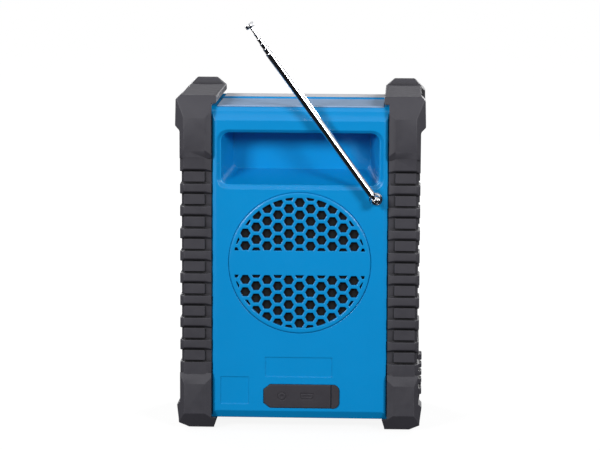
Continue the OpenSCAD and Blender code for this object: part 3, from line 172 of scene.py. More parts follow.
@dataclass(frozen=True)
class Finish(Surface):
    """A surface of one stuff: what it is made of and how it was made.

    Attributes:
        colour: Body colour, sRGB hex.
        edge_colour: Colour that shows where handling has rubbed the edges, sRGB hex.
        roughness: Middle roughness.
        ior: Index of refraction. A metal keeps the default.
        metallic: 1 for bare metal, else 0.
        grain_mm: Spacing of the surface grain.
        grain_height_mm: Height of that grain.
        mottle_mm: Size of the slow changes in tone.
        mottle: How much the tone changes, as a part of the colour.
        gloss_change: How much the roughness changes, as a part of itself.
        wear: How much of the edges is rubbed, 0 to 1.
        edge_mm: Radius over which edges round off and wear.
        coat: Weight of a clear skin over the body.
        clear: Share of the light that passes through.
        sheen_level: How strong the plain reflection is. 0.5 is what the index of refraction gives.
        groove_shade: How strongly painted shade darkens the grooves and hollows, 0 to 1. Ambient occlusion
            places it.
        groove_shade_colour: Colour of that painted shade, sRGB hex.
        groove_shade_mm: How far from a groove's wall the painted shade reaches.
        stretch: Scale of the grain along X, Y and Z, for drawn or brushed surfaces.
    """

    colour: str
    edge_colour: str
    roughness: float = 0.4
    ior: float = 1.5
    metallic: float = 0.0
    grain_mm: float = 0.9
    grain_height_mm: float = 0.01
    mottle_mm: float = 40.0
    mottle: float = 0.05
    gloss_change: float = 0.15
    wear: float = 0.25
    edge_mm: float = 0.6
    coat: float = 0.0
    clear: float = 0.0
    sheen_level: float = 0.5
    groove_shade: float = 0.0
    groove_shade_colour: str = "#0B0B0D"
    groove_shade_mm: float = 5.0
    stretch: Point3 = (1.0, 1.0, 1.0)

    def lay_out(self, tree: bpy.types.NodeTree) -> None:
        """Lays out tone, edge wear, painted shade in grooves, gloss and grain over one Principled surface.

        Args:
            tree: The material's empty node tree.
        """
        node = partial(add_node, tree)
        place = node("ShaderNodeTexCoord").outputs["Object"]
        drawn = node("ShaderNodeMapping", {"Scale": self.stretch}, {"Vector": place})
        mottle = node("ShaderNodeTexNoise", {"Scale": per_mm(self.mottle_mm), "Detail": 3.0},
                      {"Vector": place})
        grain = node("ShaderNodeTexNoise", {"Scale": per_mm(self.grain_mm), "Detail": 2.0},
                     {"Vector": drawn.outputs["Vector"]})
        patches = node("ShaderNodeTexNoise", {"Scale": per_mm(PATCH_MM), "Detail": 4.0}, {"Vector": place})
        rounded = node("ShaderNodeBevel", {"samples": 4, "Radius": mm(self.edge_mm)})
        surface = node("ShaderNodeNewGeometry")
        turned = node("ShaderNodeVectorMath", {"operation": "DOT_PRODUCT"},
                      {0: rounded.outputs["Normal"], 1: surface.outputs["True Normal"]})
        edge = node("ShaderNodeMapRange", {"From Min": WORN_COSINES[0], "From Max": WORN_COSINES[1]},
                    {"Value": turned.outputs["Value"]})
        rubbed = node("ShaderNodeMapRange",
                      {"From Min": RUBBED_FROM, "From Max": NOISE_HIGH, "To Min": LEAST_WEAR * self.wear,
                       "To Max": self.wear}, {"Value": patches.outputs["Fac"]})
        worn = node("ShaderNodeMath", {"operation": "MULTIPLY", "use_clamp": True},
                    {0: edge.outputs["Result"], 1: rubbed.outputs["Result"]})
        tone = node("ShaderNodeMapRange",
                    {"From Min": NOISE_LOW, "From Max": NOISE_HIGH, "To Min": 1.0 - self.mottle,
                     "To Max": 1.0 + self.mottle}, {"Value": mottle.outputs["Fac"]})
        body = node("ShaderNodeMix",
                    {"data_type": "RGBA", "blend_type": "MULTIPLY", 0: 1.0, 6: linear(self.colour)},
                    {7: tone.outputs["Result"]})
        coloured = node("ShaderNodeMix", {"data_type": "RGBA", 7: linear(self.edge_colour)},
                        {0: worn.outputs["Value"], 6: body.outputs[2]})
        # Painted shade: ambient occlusion darkens grooves and hollows toward groove_shade_colour, in the base
        # colour.
        if self.groove_shade:
            open_side = node("ShaderNodeAmbientOcclusion",
                             {"samples": 8, "only_local": True, "Distance": mm(self.groove_shade_mm)})
            deep = node("ShaderNodeMapRange",
                        {"From Min": OPEN_SHARES[0], "From Max": OPEN_SHARES[1], "To Max": self.groove_shade},
                        {"Value": open_side.outputs["AO"]})
            coloured = node("ShaderNodeMix", {"data_type": "RGBA", 7: linear(self.groove_shade_colour)},
                            {0: deep.outputs["Result"], 6: coloured.outputs[2]})
        smoothest = self.roughness * (1 - self.gloss_change)
        roughest = min(1.0, self.roughness * (1 + self.gloss_change))
        gloss = node("ShaderNodeMapRange",
                     {"From Min": NOISE_LOW, "From Max": NOISE_HIGH, "To Min": smoothest, "To Max": roughest},
                     {"Value": patches.outputs["Fac"]})
        bump = node("ShaderNodeBump", {"Strength": 1.0, "Distance": mm(self.grain_height_mm)},
                    {"Height": grain.outputs["Fac"], "Normal": rounded.outputs["Normal"]})
        shader = node("ShaderNodeBsdfPrincipled",
                      {"IOR": self.ior, "Metallic": self.metallic, "Coat Weight": self.coat,
                       "Transmission Weight": self.clear, "Specular IOR Level": self.sheen_level},
                      {"Base Color": coloured.outputs[2], "Roughness": gloss.outputs["Result"],
                       "Normal": bump.outputs["Normal"]})
        node("ShaderNodeOutputMaterial", links={"Surface": shader.outputs["BSDF"]})


@dataclass(frozen=True)
class WovenCloth(Surface):
    """Black acoustic cloth: an open plain weave of thin polyester yarn.

    Attributes:
        name: The material's name.
        colour: Yarn colour, sRGB hex.
        gap_colour: Colour between the yarns, sRGB hex.
        thread_mm: Spacing of the yarns: 0.4 mm in real cloth, drawn at twice that so that it shows.
        yarn_height_mm: How far the yarns stand over the gaps.
        unevenness: How much the yarns wander.
        roughness: Roughness of the fibres.
        ior: Their index of refraction.
    """

    name: str = "woven_polyester_cloth"
    colour: str = "#0C0C0E"
    gap_colour: str = "#020203"
    thread_mm: float = 0.8
    yarn_height_mm: float = 0.12
    unevenness: float = 0.4
    roughness: float = 0.9
    ior: float = 1.45

    def lay_out(self, tree: bpy.types.NodeTree) -> None:
        """Crosses two sets of yarns, along X and along Z.

        Args:
            tree: The material's empty node tree.
        """
        node = partial(add_node, tree)
        place = node("ShaderNodeTexCoord").outputs["Object"]
        scale = per_mm(self.thread_mm) * BAND
        yarns = [node("ShaderNodeTexWave",
                      {"wave_type": "BANDS", "bands_direction": axis, "Scale": scale,
                       "Distortion": self.unevenness, "Detail": 1.0}, {"Vector": place})
                 for axis in ("X", "Z")]
        weave = node("ShaderNodeMath", {"operation": "MULTIPLY"},
                     {0: yarns[0].outputs["Fac"], 1: yarns[1].outputs["Fac"]})
        colour = node("ShaderNodeMix",
                      {"data_type": "RGBA", 6: linear(self.gap_colour), 7: linear(self.colour)},
                      {0: weave.outputs["Value"]})
        bump = node("ShaderNodeBump", {"Distance": mm(self.yarn_height_mm)},
                    {"Height": weave.outputs["Value"]})
        shader = node("ShaderNodeBsdfPrincipled", {"Roughness": self.roughness, "IOR": self.ior},
                      {"Base Color": colour.outputs[2], "Normal": bump.outputs["Normal"]})
        node("ShaderNodeOutputMaterial", links={"Surface": shader.outputs["BSDF"]})


# ABS from a polished mould: an even colour with soft highlights and a faint orange peel
BLUE_ABS = Finish("moulded_blue_abs", "#0489CB", "#2E9BD6", roughness=0.25, ior=1.54, grain_mm=2.4,
                  grain_height_mm=0.0012, mottle=0.02, gloss_change=0.06, wear=0.35, edge_mm=1.0,
                  sheen_level=0.4)
# Elastomer moulded over ABS in a spark-eroded mould: satin with a fine grain, paler where its edges are
# rubbed, and with painted shade that darkens its grooves to near black. The real grain is about 0.3 mm and is
# drawn three times as coarse
BUMPER_ELASTOMER = Finish("satin_charcoal_elastomer", "#3D3C42", "#6E6D73", roughness=0.48, ior=1.5,
                          grain_height_mm=0.03, mottle=0.07, wear=0.5, edge_mm=0.7,
                          sheen_level=0.3, groove_shade=0.9)
# Soft rubber moulded matt: it hides small highlights
COVER_RUBBER = Finish("matt_grey_rubber", "#333137", "#55535A", roughness=0.6, ior=1.52, grain_mm=0.8,
                      grain_height_mm=0.02, mottle=0.06, wear=0.35, edge_mm=0.5, sheen_level=0.3)
# Hard black rubber, moulded: dull, and grey where it rubs on the floor
FOOT_RUBBER = Finish("moulded_black_rubber", "#1A1A1C", "#3A3A3C", roughness=0.75, ior=1.52, grain_mm=0.8,
                     grain_height_mm=0.03, wear=0.4)
# Silver paint sprayed on ABS: satin, with a faint metal sparkle
SILVER_PAINT = Finish("sprayed_silver_paint", "#D8D9DF", "#E4E5E9", roughness=0.36, ior=1.5, grain_mm=0.8,
                      grain_height_mm=0.008, mottle=0.04, wear=0.3)
# The grey trim's satin paint on ABS, drawn darker and bluer for the rear top strip: painted shade and a
# painted bluish reflection on the same trim as the front strip
SHADED_GREY_TRIM_PAINT = Finish("grey_trim_paint_with_painted_shade", "#8CA6C6", "#B0C2D8", roughness=0.36, ior=1.5,
                         grain_mm=0.8, grain_height_mm=0.008, mottle=0.04, wear=0.3)
# Black ABS from a spark-eroded mould: an even satin grain
PANEL_ABS = Finish("textured_black_abs", "#242427", "#434347", roughness=0.48, ior=1.54, grain_mm=0.8,
                   grain_height_mm=0.025, wear=0.35, edge_mm=0.5)
# Plain black ABS of the inner mouldings
INNER_ABS = Finish("plain_black_abs", "#161618", "#2A2A2C", roughness=0.42, ior=1.54, wear=0.2, edge_mm=0.3)
# Soft-touch paint over ABS: a velvety black that polishes on its ridges
SOFT_TOUCH = Finish("soft_touch_black_paint", "#1C1C1F", "#3C3C40", roughness=0.55, ior=1.5, grain_mm=0.7,
                    grain_height_mm=0.012, wear=0.5, edge_mm=0.4)
# Light grey ABS keys, moulded satin
KEY_ABS = Finish("moulded_grey_abs", "#9A9CA4", "#B9BBC1", roughness=0.4, ior=1.54, grain_mm=0.8,
                 grain_height_mm=0.01, wear=0.3, edge_mm=0.4)
# Chrome plated on drawn brass tube: a mirror with fine scratches along its length
CHROME = Finish("polished_chrome_plate", "#D6D7DA", "#EDEDED", roughness=0.1, metallic=1.0,
                grain_height_mm=0.001, mottle=0.04, gloss_change=0.4, wear=0.1, edge_mm=0.2,
                stretch=(1.0, 1.0, 0.12))
# Zinc plated on turned and pressed steel: bright but cloudy
ZINC_STEEL = Finish("zinc_plated_steel", "#A3A5A9", "#CBCCCE", roughness=0.3, metallic=1.0, grain_mm=0.7,
                    grain_height_mm=0.008, mottle=0.08, gloss_change=0.3, wear=0.3, edge_mm=0.25)
# Steel with a black oxide skin: dark with a dull sheen
BLACK_STEEL = Finish("black_oxide_steel", "#3A3A3D", "#77777A", roughness=0.38, metallic=1.0, grain_mm=0.7,
                     grain_height_mm=0.008, mottle=0.1, gloss_change=0.3, wear=0.45, edge_mm=0.25)
# Sintered ferrite and its black painted plates: dull and slightly rough
FERRITE = Finish("sintered_ferrite", "#28282B", "#45454A", roughness=0.62, ior=1.5, grain_mm=0.8,
                 grain_height_mm=0.04, wear=0.35)
# Solder mask cured over a glass-fibre board: glossy green
BOARD_MASK = Finish("green_solder_mask", "#12573A", "#2B7A58", roughness=0.3, ior=1.52, grain_mm=1.0,
                    grain_height_mm=0.012, mottle=0.1, wear=0.2, coat=0.3)
# Pressed paper pulp: matt and fibrous
CONE_PAPER = Finish("pressed_paper_pulp", "#1E1E20", "#2E2E30", roughness=0.82, ior=1.45,
                    grain_height_mm=0.06, mottle=0.14, wear=0.1)
# Butyl rubber of the rolls, moulded smooth
ROLL_RUBBER = Finish("moulded_butyl_rubber", "#17171A", "#29292C", roughness=0.5, ior=1.52, wear=0.1)
# Dark grey ABS of the battery's case
PACK_ABS = Finish("moulded_dark_grey_abs", "#353538", "#515156", roughness=0.45, ior=1.54, wear=0.3)
# Gold flashed on phosphor bronze springs
GOLD_FLASH = Finish("gold_flashed_bronze", "#CDA65A", "#E4C684", roughness=0.26, metallic=1.0, grain_mm=0.7,
                    grain_height_mm=0.005, wear=0.2, edge_mm=0.2)
# Smoked acrylic, hard coated: a dark clear window with a sharp gloss
WINDOW_ACRYLIC = Finish("smoked_acrylic", "#8C9690", "#8C9690", roughness=0.05, ior=1.49, grain_mm=4.0,
                        grain_height_mm=0.001, mottle=0.02, wear=0.0, edge_mm=0.2, clear=1.0)
# Display glass over its grey-green reflector: matt
DISPLAY_GLASS = Finish("frosted_display_glass", "#8D9A80", "#97A48A", roughness=0.35, ior=1.5, grain_mm=0.6,
                       grain_height_mm=0.004, mottle=0.05, wear=0.0)
# Ink of the display's dark segments
DISPLAY_INK = Finish("dark_display_segments", "#14180F", "#1C2216", roughness=0.4, ior=1.5, grain_mm=0.6,
                     grain_height_mm=0.003, mottle=0.06, wear=0.0)
# White screen-printed ink: matt with slightly uneven cover
WHITE_INK = Finish("screen_printed_white_ink", "#DADBDD", "#C4C5C8", roughness=0.55, ior=1.5, grain_mm=0.6,
                   grain_height_mm=0.01, mottle=0.08, wear=0.3, edge_mm=0.2)
# Dark screen-printed ink on the light keys
DARK_INK = Finish("screen_printed_dark_ink", "#26262A", "#4A4A4E", roughness=0.55, ior=1.5, grain_mm=0.6,
                  grain_height_mm=0.01, mottle=0.08, wear=0.3, edge_mm=0.2)
CLOTH = WovenCloth()


# ---------------------------------------------------------------- mesh building

def facing(origin_mm: Sequence[float], axis: Point3, roll: float = 0.0) -> Matrix:
    """Places local millimetres in the row frame.

    Args:
        origin_mm: Where the local origin lies.
        axis: Where local +Z points.
        roll: Turn round that axis, in degrees.

    Returns:
        A matrix from local millimetres to metres.
    """
    along = Vector(axis).normalized()
    up = Vector((0, 0, 1)) if abs(along.z) < 0.9 else Vector((0, 1, 0))
    side = up.cross(along).normalized()
    turn = Matrix((side, along.cross(side), along)).transposed().to_4x4()
    return (Matrix.Translation([mm(v) for v in origin_mm]) @ turn
            @ Matrix.Rotation(math.radians(roll), 4, "Z") @ Matrix.Scale(mm(1), 4))


class Workpiece:
    """One piece's mesh while it is being made."""

    def __init__(self) -> None:
        """Starts with an empty mesh."""
        self.work = bmesh.new()

    def turned(self, profile: Sequence[Point], place: Matrix, steps: int = 48, closed: bool = False) -> None:
        """Turns a profile round the local Z axis.

        Args:
            profile: Radius and height of each point, in millimetres.
            place: Where the shape goes.
            steps: Facets round the axis.
            closed: Whether the last point joins the first.
        """
        rings: list[list[bmesh.types.BMVert]] = []
        for radius, height in profile:
            count = 1 if radius < TINY else steps
            angles = [math.tau * k / steps for k in range(count)]
            spots = [Vector((radius * math.cos(a), radius * math.sin(a), height)) for a in angles]
            rings.append([self.work.verts.new(place @ spot) for spot in spots])
        pairs = list(zip(rings, rings[1:])) + ([(rings[-1], rings[0])] if closed else [])
        for low, high in pairs:
            for k in range(steps):
                quad = (low[k % len(low)], low[(k + 1) % len(low)],
                        high[(k + 1) % len(high)], high[k % len(high)])
                corners = list(dict.fromkeys(quad))
                if len(corners) > 2:
                    self.work.faces.new(corners)

    def slab(self, outline: Sequence[Point], low: float, high: float, place: Matrix,
             chamfer: float = 0.0) -> None:
        """Raises a plate with one outline and a chamfered top edge.

        Args:
            outline: Corners in order, anticlockwise, in millimetres.
            low: Height of the bottom.
            high: Height of the top.
            place: Where the shape goes.
            chamfer: Width of the top edge's chamfer.
        """
        count = len(outline)
        middle = Vector((sum(p[0] for p in outline) / count, sum(p[1] for p in outline) / count))
        levels = [(0.0, low), (0.0, high - chamfer)] + ([(chamfer, high)] if chamfer else [])
        rings = []
        for inside, height in levels:
            ring = []
            for point in outline:
                out = Vector(point) - middle
                out = middle + out * (1 - inside / max(out.length, TINY))
                ring.append(self.work.verts.new(place @ Vector((out.x, out.y, height))))
            rings.append(ring)
        for below, above in zip(rings, rings[1:]):
            for k in range(count):
                self.work.faces.new([below[k], below[(k + 1) % count], above[(k + 1) % count], above[k]])
        self.work.faces.new(list(reversed(rings[0])))
        self.work.faces.new(rings[-1])

    def line(self, points: Sequence[Point], width: float, height: float, place: Matrix) -> None:
        """Draws a raised line along some points.

        Args:
            points: The line's middle. A closed line ends where it starts.
            width: The line's width.
            height: How far it stands over local Z = 0.
            place: Where it goes.
        """
        spots = [Vector(p) for p in points]
        closed = (spots[0] - spots[-1]).length < TINY
        if closed:
            spots = spots[:-1]
        count = len(spots)
        sides = []
        for k, spot in enumerate(spots):
            before = spots[k - 1] if closed or k else None
            after = spots[(k + 1) % count] if closed or k + 1 < count else None
            ways = [(b - a).normalized() for a, b in ((before, spot), (spot, after))
                    if a is not None and b is not None]
            way = sum(ways, Vector((0, 0))).normalized()
            across = Vector((-way.y, way.x)) * (width / 2 / max(0.5, way.dot(ways[0])))
            sides.append([self.work.verts.new(place @ Vector((*(spot + across * s), h)))
                          for s, h in ((1, 0.0), (1, height), (-1, height), (-1, 0.0))])
        for k in range(count if closed else count - 1):
            here, there = sides[k], sides[(k + 1) % count]
            for j in range(3):
                self.work.faces.new([here[j], there[j], there[j + 1], here[j + 1]])
        if not closed:
            self.work.faces.new(sides[0])
            self.work.faces.new(list(reversed(sides[-1])))

    def cross_head(self, radius: float, height: float, place: Matrix, steps: int = 32) -> None:
        """Makes a pan head with a cross recess.

        Args:
            radius: The head's radius.
            height: Its height.
            place: Where the middle of its seat goes.
            steps: Facets round it.
        """
        rim, side = 0.62 * radius, 0.45
        profile = [(0.0, 0.0), (radius, 0.0), (radius, side * height)]
        profile += [(radius - (radius - rim) * (1 - math.cos(math.radians(a))),
                     height * (side + (1 - side) * math.sin(math.radians(a)))) for a in (20, 40, 60, 90)]
        self.turned(profile, place, steps)
        self.work.verts.ensure_lookup_table()
        ring = self.work.verts[-steps:]
        long, short, taper, deep = 0.5 * radius, 0.13 * radius, 0.62, 0.35 * height
        corner = [(long, short), (short, short), (short, long), (-short, long), (-short, short),
                  (-long, short), (-long, -short), (-short, -short), (-short, -long), (short, -long),
                  (short, -short), (long, -short)]
        top = [self.work.verts.new(place @ Vector((x, y, height))) for x, y in corner]
        low = [self.work.verts.new(place @ Vector((x * taper, y * taper, deep))) for x, y in corner]
        edges = [self.work.edges.get((ring[k - 1], ring[k])) for k in range(steps)]
        for k in range(len(corner)):
            self.work.faces.new([top[k - 1], top[k], low[k], low[k - 1]])
            edges.append(self.work.edges.get((top[k - 1], top[k])))
        self.work.faces.new(low)
        bmesh.ops.triangle_fill(self.work, edges=edges, use_beauty=True, use_dissolve=False)

    def mesh(self, name: str) -> bpy.types.Mesh:
        """Finishes the mesh.

        Args:
            name: The mesh's name.

        Returns:
            The mesh, in metres.
        """
        bmesh.ops.recalc_face_normals(self.work, faces=self.work.faces)
        for face in self.work.faces:
            face.smooth = True
        made = bpy.data.meshes.new(name)
        self.work.to_mesh(made)
        self.work.free()
        made.set_sharp_from_angle(angle=SMOOTH_ANGLE)
        return made


def new_object(name: str, data: bpy.types.ID) -> bpy.types.Object:
    """Returns a new object that stands in the scene."""
    made = bpy.data.objects.new(name, data)
    bpy.context.scene.collection.objects.link(made)
    return made


def new_piece(mesh: bpy.types.Mesh, body: str, finish: Surface,
              replaced: Sequence[str] = ()) -> bpy.types.Object:
    """Makes a piece of a mesh, dresses it and hangs it on its CAD body.

    Args:
        mesh: Its mesh, in the row frame. The piece takes its name.
        body: The CAD body that it moves with.
        finish: Its finish.
        replaced: CAD nodes that it stands for.

    Returns:
        The new piece.
    """
    piece = new_object(mesh.name, mesh)
    mesh.materials.clear()
    mesh.materials.append(finish.material())
    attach(piece, body)
    if replaced:
        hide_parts(*replaced)
    log.info("%s: %d faces, on %s", mesh.name, len(mesh.polygons), body)
    return piece


def edge_room(edge: bmesh.types.BMEdge, sharp: set[bmesh.types.BMEdge], widths: dict[int, float]) -> float:
    """Works out how wide an edge can be rounded before that meets its neighbours.

    Args:
        edge: A sharp edge.
        sharp: All the mesh's sharp edges.
        widths: The mean width of each face, by its number.

    Returns:
        The width, in metres.
    """
    room = ROOM_SHARE * min(widths[face.index] for face in edge.link_faces)
    faces = set(edge.link_faces)
    for vert in edge.verts:
        own = edge.other_vert(vert).co - vert.co
        for other in vert.link_edges:
            if other is edge or not faces & set(other.link_faces):
                continue
            way = other.other_vert(vert).co - vert.co
            between = own.angle(way, math.pi)
            if other in sharp:
                near = min(own.length, way.length)
                room = min(room, ROOM_SHARE * near * math.tan(min(between, WIDEST_CORNER) / 2))
            else:
                room = min(room, ROOM_SHARE * way.length * max(math.sin(between), LEAST_SLANT))
    return room


def ease_ends(work: bmesh.types.BMesh, weight: bmesh.types.BMLayerItem, width_mm: float) -> None:
    """Narrows the rounding where a line of rounded edges ends, so that it dies out on the spot.

    Args:
        work: The mesh.
        weight: Its layer of bevel weights.
        width_mm: The rounding's full width.
    """
    for vert in work.verts:
        rounded = [edge for edge in vert.link_edges if edge[weight] > 0]
        if len(rounded) != 1:
            continue
        edge = rounded[0]
        own = edge.other_vert(vert).co - vert.co
        faces = set(edge.link_faces)
        for other in vert.link_edges:
            if other is not edge and faces & set(other.link_faces):
                way = other.other_vert(vert).co - vert.co
                room = ROOM_SHARE * way.length * math.sin(own.angle(way, 0.0))
                edge[weight] = min(edge[weight], room / mm(width_mm))


def rounded_copy(node: str, name: str, width_mm: float) -> bpy.types.Mesh:
    """Copies a CAD node's mesh and marks its edges for rounding.

    Args:
        node: The CAD node.
        name: The new mesh's name.
        width_mm: Width of the rounding on an edge that has room for it.

    Returns:
        The new mesh, with each sharp edge's share of the width as its bevel weight.
    """
    work = bmesh.new()
    work.from_mesh(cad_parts[node].data)
    bmesh.ops.remove_doubles(work, verts=work.verts, dist=mm(WELD_MM))
    bmesh.ops.dissolve_limit(work, angle_limit=FLAT_ANGLE, verts=work.verts, edges=work.edges)
    work.faces.index_update()
    weight = work.edges.layers.float.new("bevel_weight_edge")
    sharp = {e for e in work.edges if len(e.link_faces) == 2 and e.calc_face_angle(0.0) > SHARP_ANGLE}
    widths = {f.index: 2 * f.calc_area() / max(f.calc_perimeter(), TINY) for f in work.faces}
    for edge in sharp:
        edge[weight] = min(1.0, edge_room(edge, sharp, widths) / mm(width_mm))
    # the rounding modifier can fold faces with more than four corners
    bmesh.ops.triangulate(work, faces=[f for f in work.faces if len(f.verts) > 4])
    ease_ends(work, weight, width_mm)
    for face in work.faces:
        face.smooth = True
    mesh = bpy.data.meshes.new(name)
    work.to_mesh(mesh)
    work.free()
    return mesh


def settle_rounding(piece: bpy.types.Object, width_mm: float, tries: int = 7) -> None:
    """Narrows the rounding of edges where it would run out over the surface or fold a face over.

    Args:
        piece: A piece with a rounding modifier.
        width_mm: The rounding's width.
        tries: How many times to look.
    """
    mesh = piece.data
    width = mm(width_mm)
    surface = BVHTree.FromPolygons([v.co for v in mesh.vertices], [p.vertices for p in mesh.polygons])
    weights = mesh.attributes["bevel_weight_edge"].data
    for _ in range(tries):
        shaped = piece.evaluated_get(bpy.context.evaluated_depsgraph_get())
        made = shaped.to_mesh()
        gaps = [(surface.find_nearest(v.co)[3], v.co.copy()) for v in made.vertices]
        strays = [(gap, spot) for gap, spot in gaps if gap > width * STRAY_SHARE]
        for face in made.polygons:
            if face.normal.dot(surface.find_nearest(face.center)[1]) < FOLDED:
                strays += [(width, made.vertices[i].co.copy()) for i in face.vertices]
        shaped.to_mesh_clear()
        if not strays:
            return
        tree = KDTree(len(strays))
        for k, (_, spot) in enumerate(strays):
            tree.insert(spot, k)
        tree.balance()
        for edge in mesh.edges:
            if weights[edge.index].value > 0:
                a, b = (mesh.vertices[i].co for i in edge.vertices)
                _, k, near = min((tree.find(spot) for spot in (a, b, (a + b) / 2)), key=lambda hit: hit[2])
                if near < STRAY_REACH[0] * width + STRAY_REACH[1] * strays[k][0]:
                    weights[edge.index].value *= NARROWER
        mesh.update()


def moulded(node: str, name: str, body: str, finish: Surface, width_mm: float,
            segments: int = COARSE) -> None:
    """Builds a moulded piece with rounded edges in the place of a CAD node.

    Args:
        node: The CAD node.
        name: The piece's name.
        body: The CAD body.
        finish: Its finish.
        width_mm: Width of the edges' rounding.
        segments: Facets across the rounding.
    """
    piece = new_piece(rounded_copy(node, name, width_mm), body, finish, [node])
    rounding = piece.modifiers.new("rounding", "BEVEL")
    rounding.limit_method = "WEIGHT"
    rounding.width = mm(width_mm)
    rounding.segments = segments
    rounding.use_clamp_overlap = False
    settle_rounding(piece, width_mm)
    normals = piece.modifiers.new("normals", "WEIGHTED_NORMAL")
    normals.keep_sharp = True
    normals.weight = LARGE_FACE_WEIGHT


def dress(finish: Surface, *nodes: str) -> None:
    """Gives carried-over CAD nodes their finish.

    Args:
        finish: The finish.
        *nodes: The CAD nodes.
    """
    for node in nodes:
        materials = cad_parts[node].data.materials
        materials.clear()
        materials.append(finish.material())
        log.info("%s carried over", node)


def middle_mm(node: str) -> Vector:
    """Returns the middle of a CAD node's box, in millimetres."""
    low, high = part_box(node)
    return (Vector(low) + Vector(high)) * (MM_PER_M / 2)


def arc(radius: float, start: float, end: float, steps: int) -> list[Point]:
    """Returns points along an arc from one angle to another, in degrees, in so many straight steps."""
    angles = [math.radians(start + (end - start) * k / steps) for k in range(steps + 1)]
    return [(radius * math.cos(a), radius * math.sin(a)) for a in angles]


def box_outline(width: float, height: float, radius: float = 0.0, at: Point = (0.0, 0.0)) -> list[Point]:
    """Returns the corners of a rectangle, rounded if a radius is given.

    Args:
        width: Its width.
        height: Its height.
        radius: Radius of its corners.
        at: Its middle.

    Returns:
        The outline, anticlockwise.
    """
    corners = []
    for k, (sx, sy) in enumerate(((1, 1), (-1, 1), (-1, -1), (1, -1))):
        cx, cy = at[0] + sx * (width / 2 - radius), at[1] + sy * (height / 2 - radius)
        bend = arc(radius, 90 * k, 90 * k + 90, 4) if radius else [(0.0, 0.0)]
        corners += [(cx + x, cy + y) for x, y in bend]
    return corners


# ---------------------------------------------------------------- sub-assemblies

@dataclass
class Casing:
    """The two shells with their grilles, cloths, strips, seal and screws.

    Attributes:
        shell_round_mm: Rounding of the shells' edges.
        grille_round_mm: Rounding of the grilles' ribs and rims.
        strip_round_mm: Rounding of the top strips' edges.
        cloth_r_mm: Radius of a grille's cloth.
        cloth_y_mm: How far a cloth's outer face lies from the middle plane.
        cloth_t_mm: Its thickness.
        hem_mm: Width of its welded hem, and of the slope inside the hem.
        weave_drop_mm: How far the weave lies behind the hem's face.
    """

    shell_round_mm: float = 1.2
    grille_round_mm: float = 0.4
    strip_round_mm: float = 0.35
    cloth_r_mm: float = 50.6
    cloth_y_mm: float = 54.15
    cloth_t_mm: float = 0.4
    hem_mm: Point = (2.0, 0.3)
    weave_drop_mm: float = 0.12

    def build(self) -> None:
        """Builds and dresses the casing's pieces."""
        shell, grille, strip = self.shell_round_mm, self.grille_round_mm, self.strip_round_mm
        for node, name, slot, finish, width_mm, segments in (
                ("rear_shell", "rear_casing", "shell_blue", BLUE_ABS, shell, FINE),
                ("front_shell", "front_casing", "shell_blue", BLUE_ABS, shell, FINE),
                ("rear_grille", "rear_honeycomb", "shell_blue", BLUE_ABS, grille, COARSE),
                ("front_grille", "front_honeycomb", "panel_black", PANEL_ABS, grille, COARSE),
                # the rear strip is the grey trim drawn darker and bluer: painted shade and a painted bluish
                # reflection
                ("top_trim_rear", "rear_top_strip", "trim_grey", SHADED_GREY_TRIM_PAINT, strip, COARSE),
                ("top_trim_front", "front_top_strip", "trim_grey", SILVER_PAINT, strip, COARSE)):
            moulded(node, name, "body", finish, width_mm, segments)
        self.cloth("rear_cloth", "rear_grille", 1, ["grille_cloths"])
        self.cloth("front_cloth", "front_grille", -1, [])
        dress(FOOT_RUBBER, "shell_gasket")
        dress(ZINC_STEEL, "casing_screws")

    def cloth(self, name: str, grille: str, way: int, replaced: list[str]) -> None:
        """Stretches a cloth with a welded hem behind a grille.

        Args:
            name: The piece's name.
            grille: The grille that it backs.
            way: 1 for the rear, -1 for the front.
            replaced: CAD nodes that it stands for.
        """
        middle = middle_mm(grille)
        work = Workpiece()
        outer, hem, drop = self.cloth_r_mm, self.cloth_r_mm - self.hem_mm[0], -self.weave_drop_mm
        profile = [(0.0, -self.cloth_t_mm), (outer, -self.cloth_t_mm), (outer, 0.0), (hem, 0.0),
                   (hem - self.hem_mm[1], drop)]
        profile += [(hem * k / 8, drop) for k in range(7, -1, -1)]
        work.turned(profile, facing((middle.x, way * self.cloth_y_mm, middle.z), (0, way, 0)), 96)
        new_piece(work.mesh(name), "body", CLOTH, replaced)


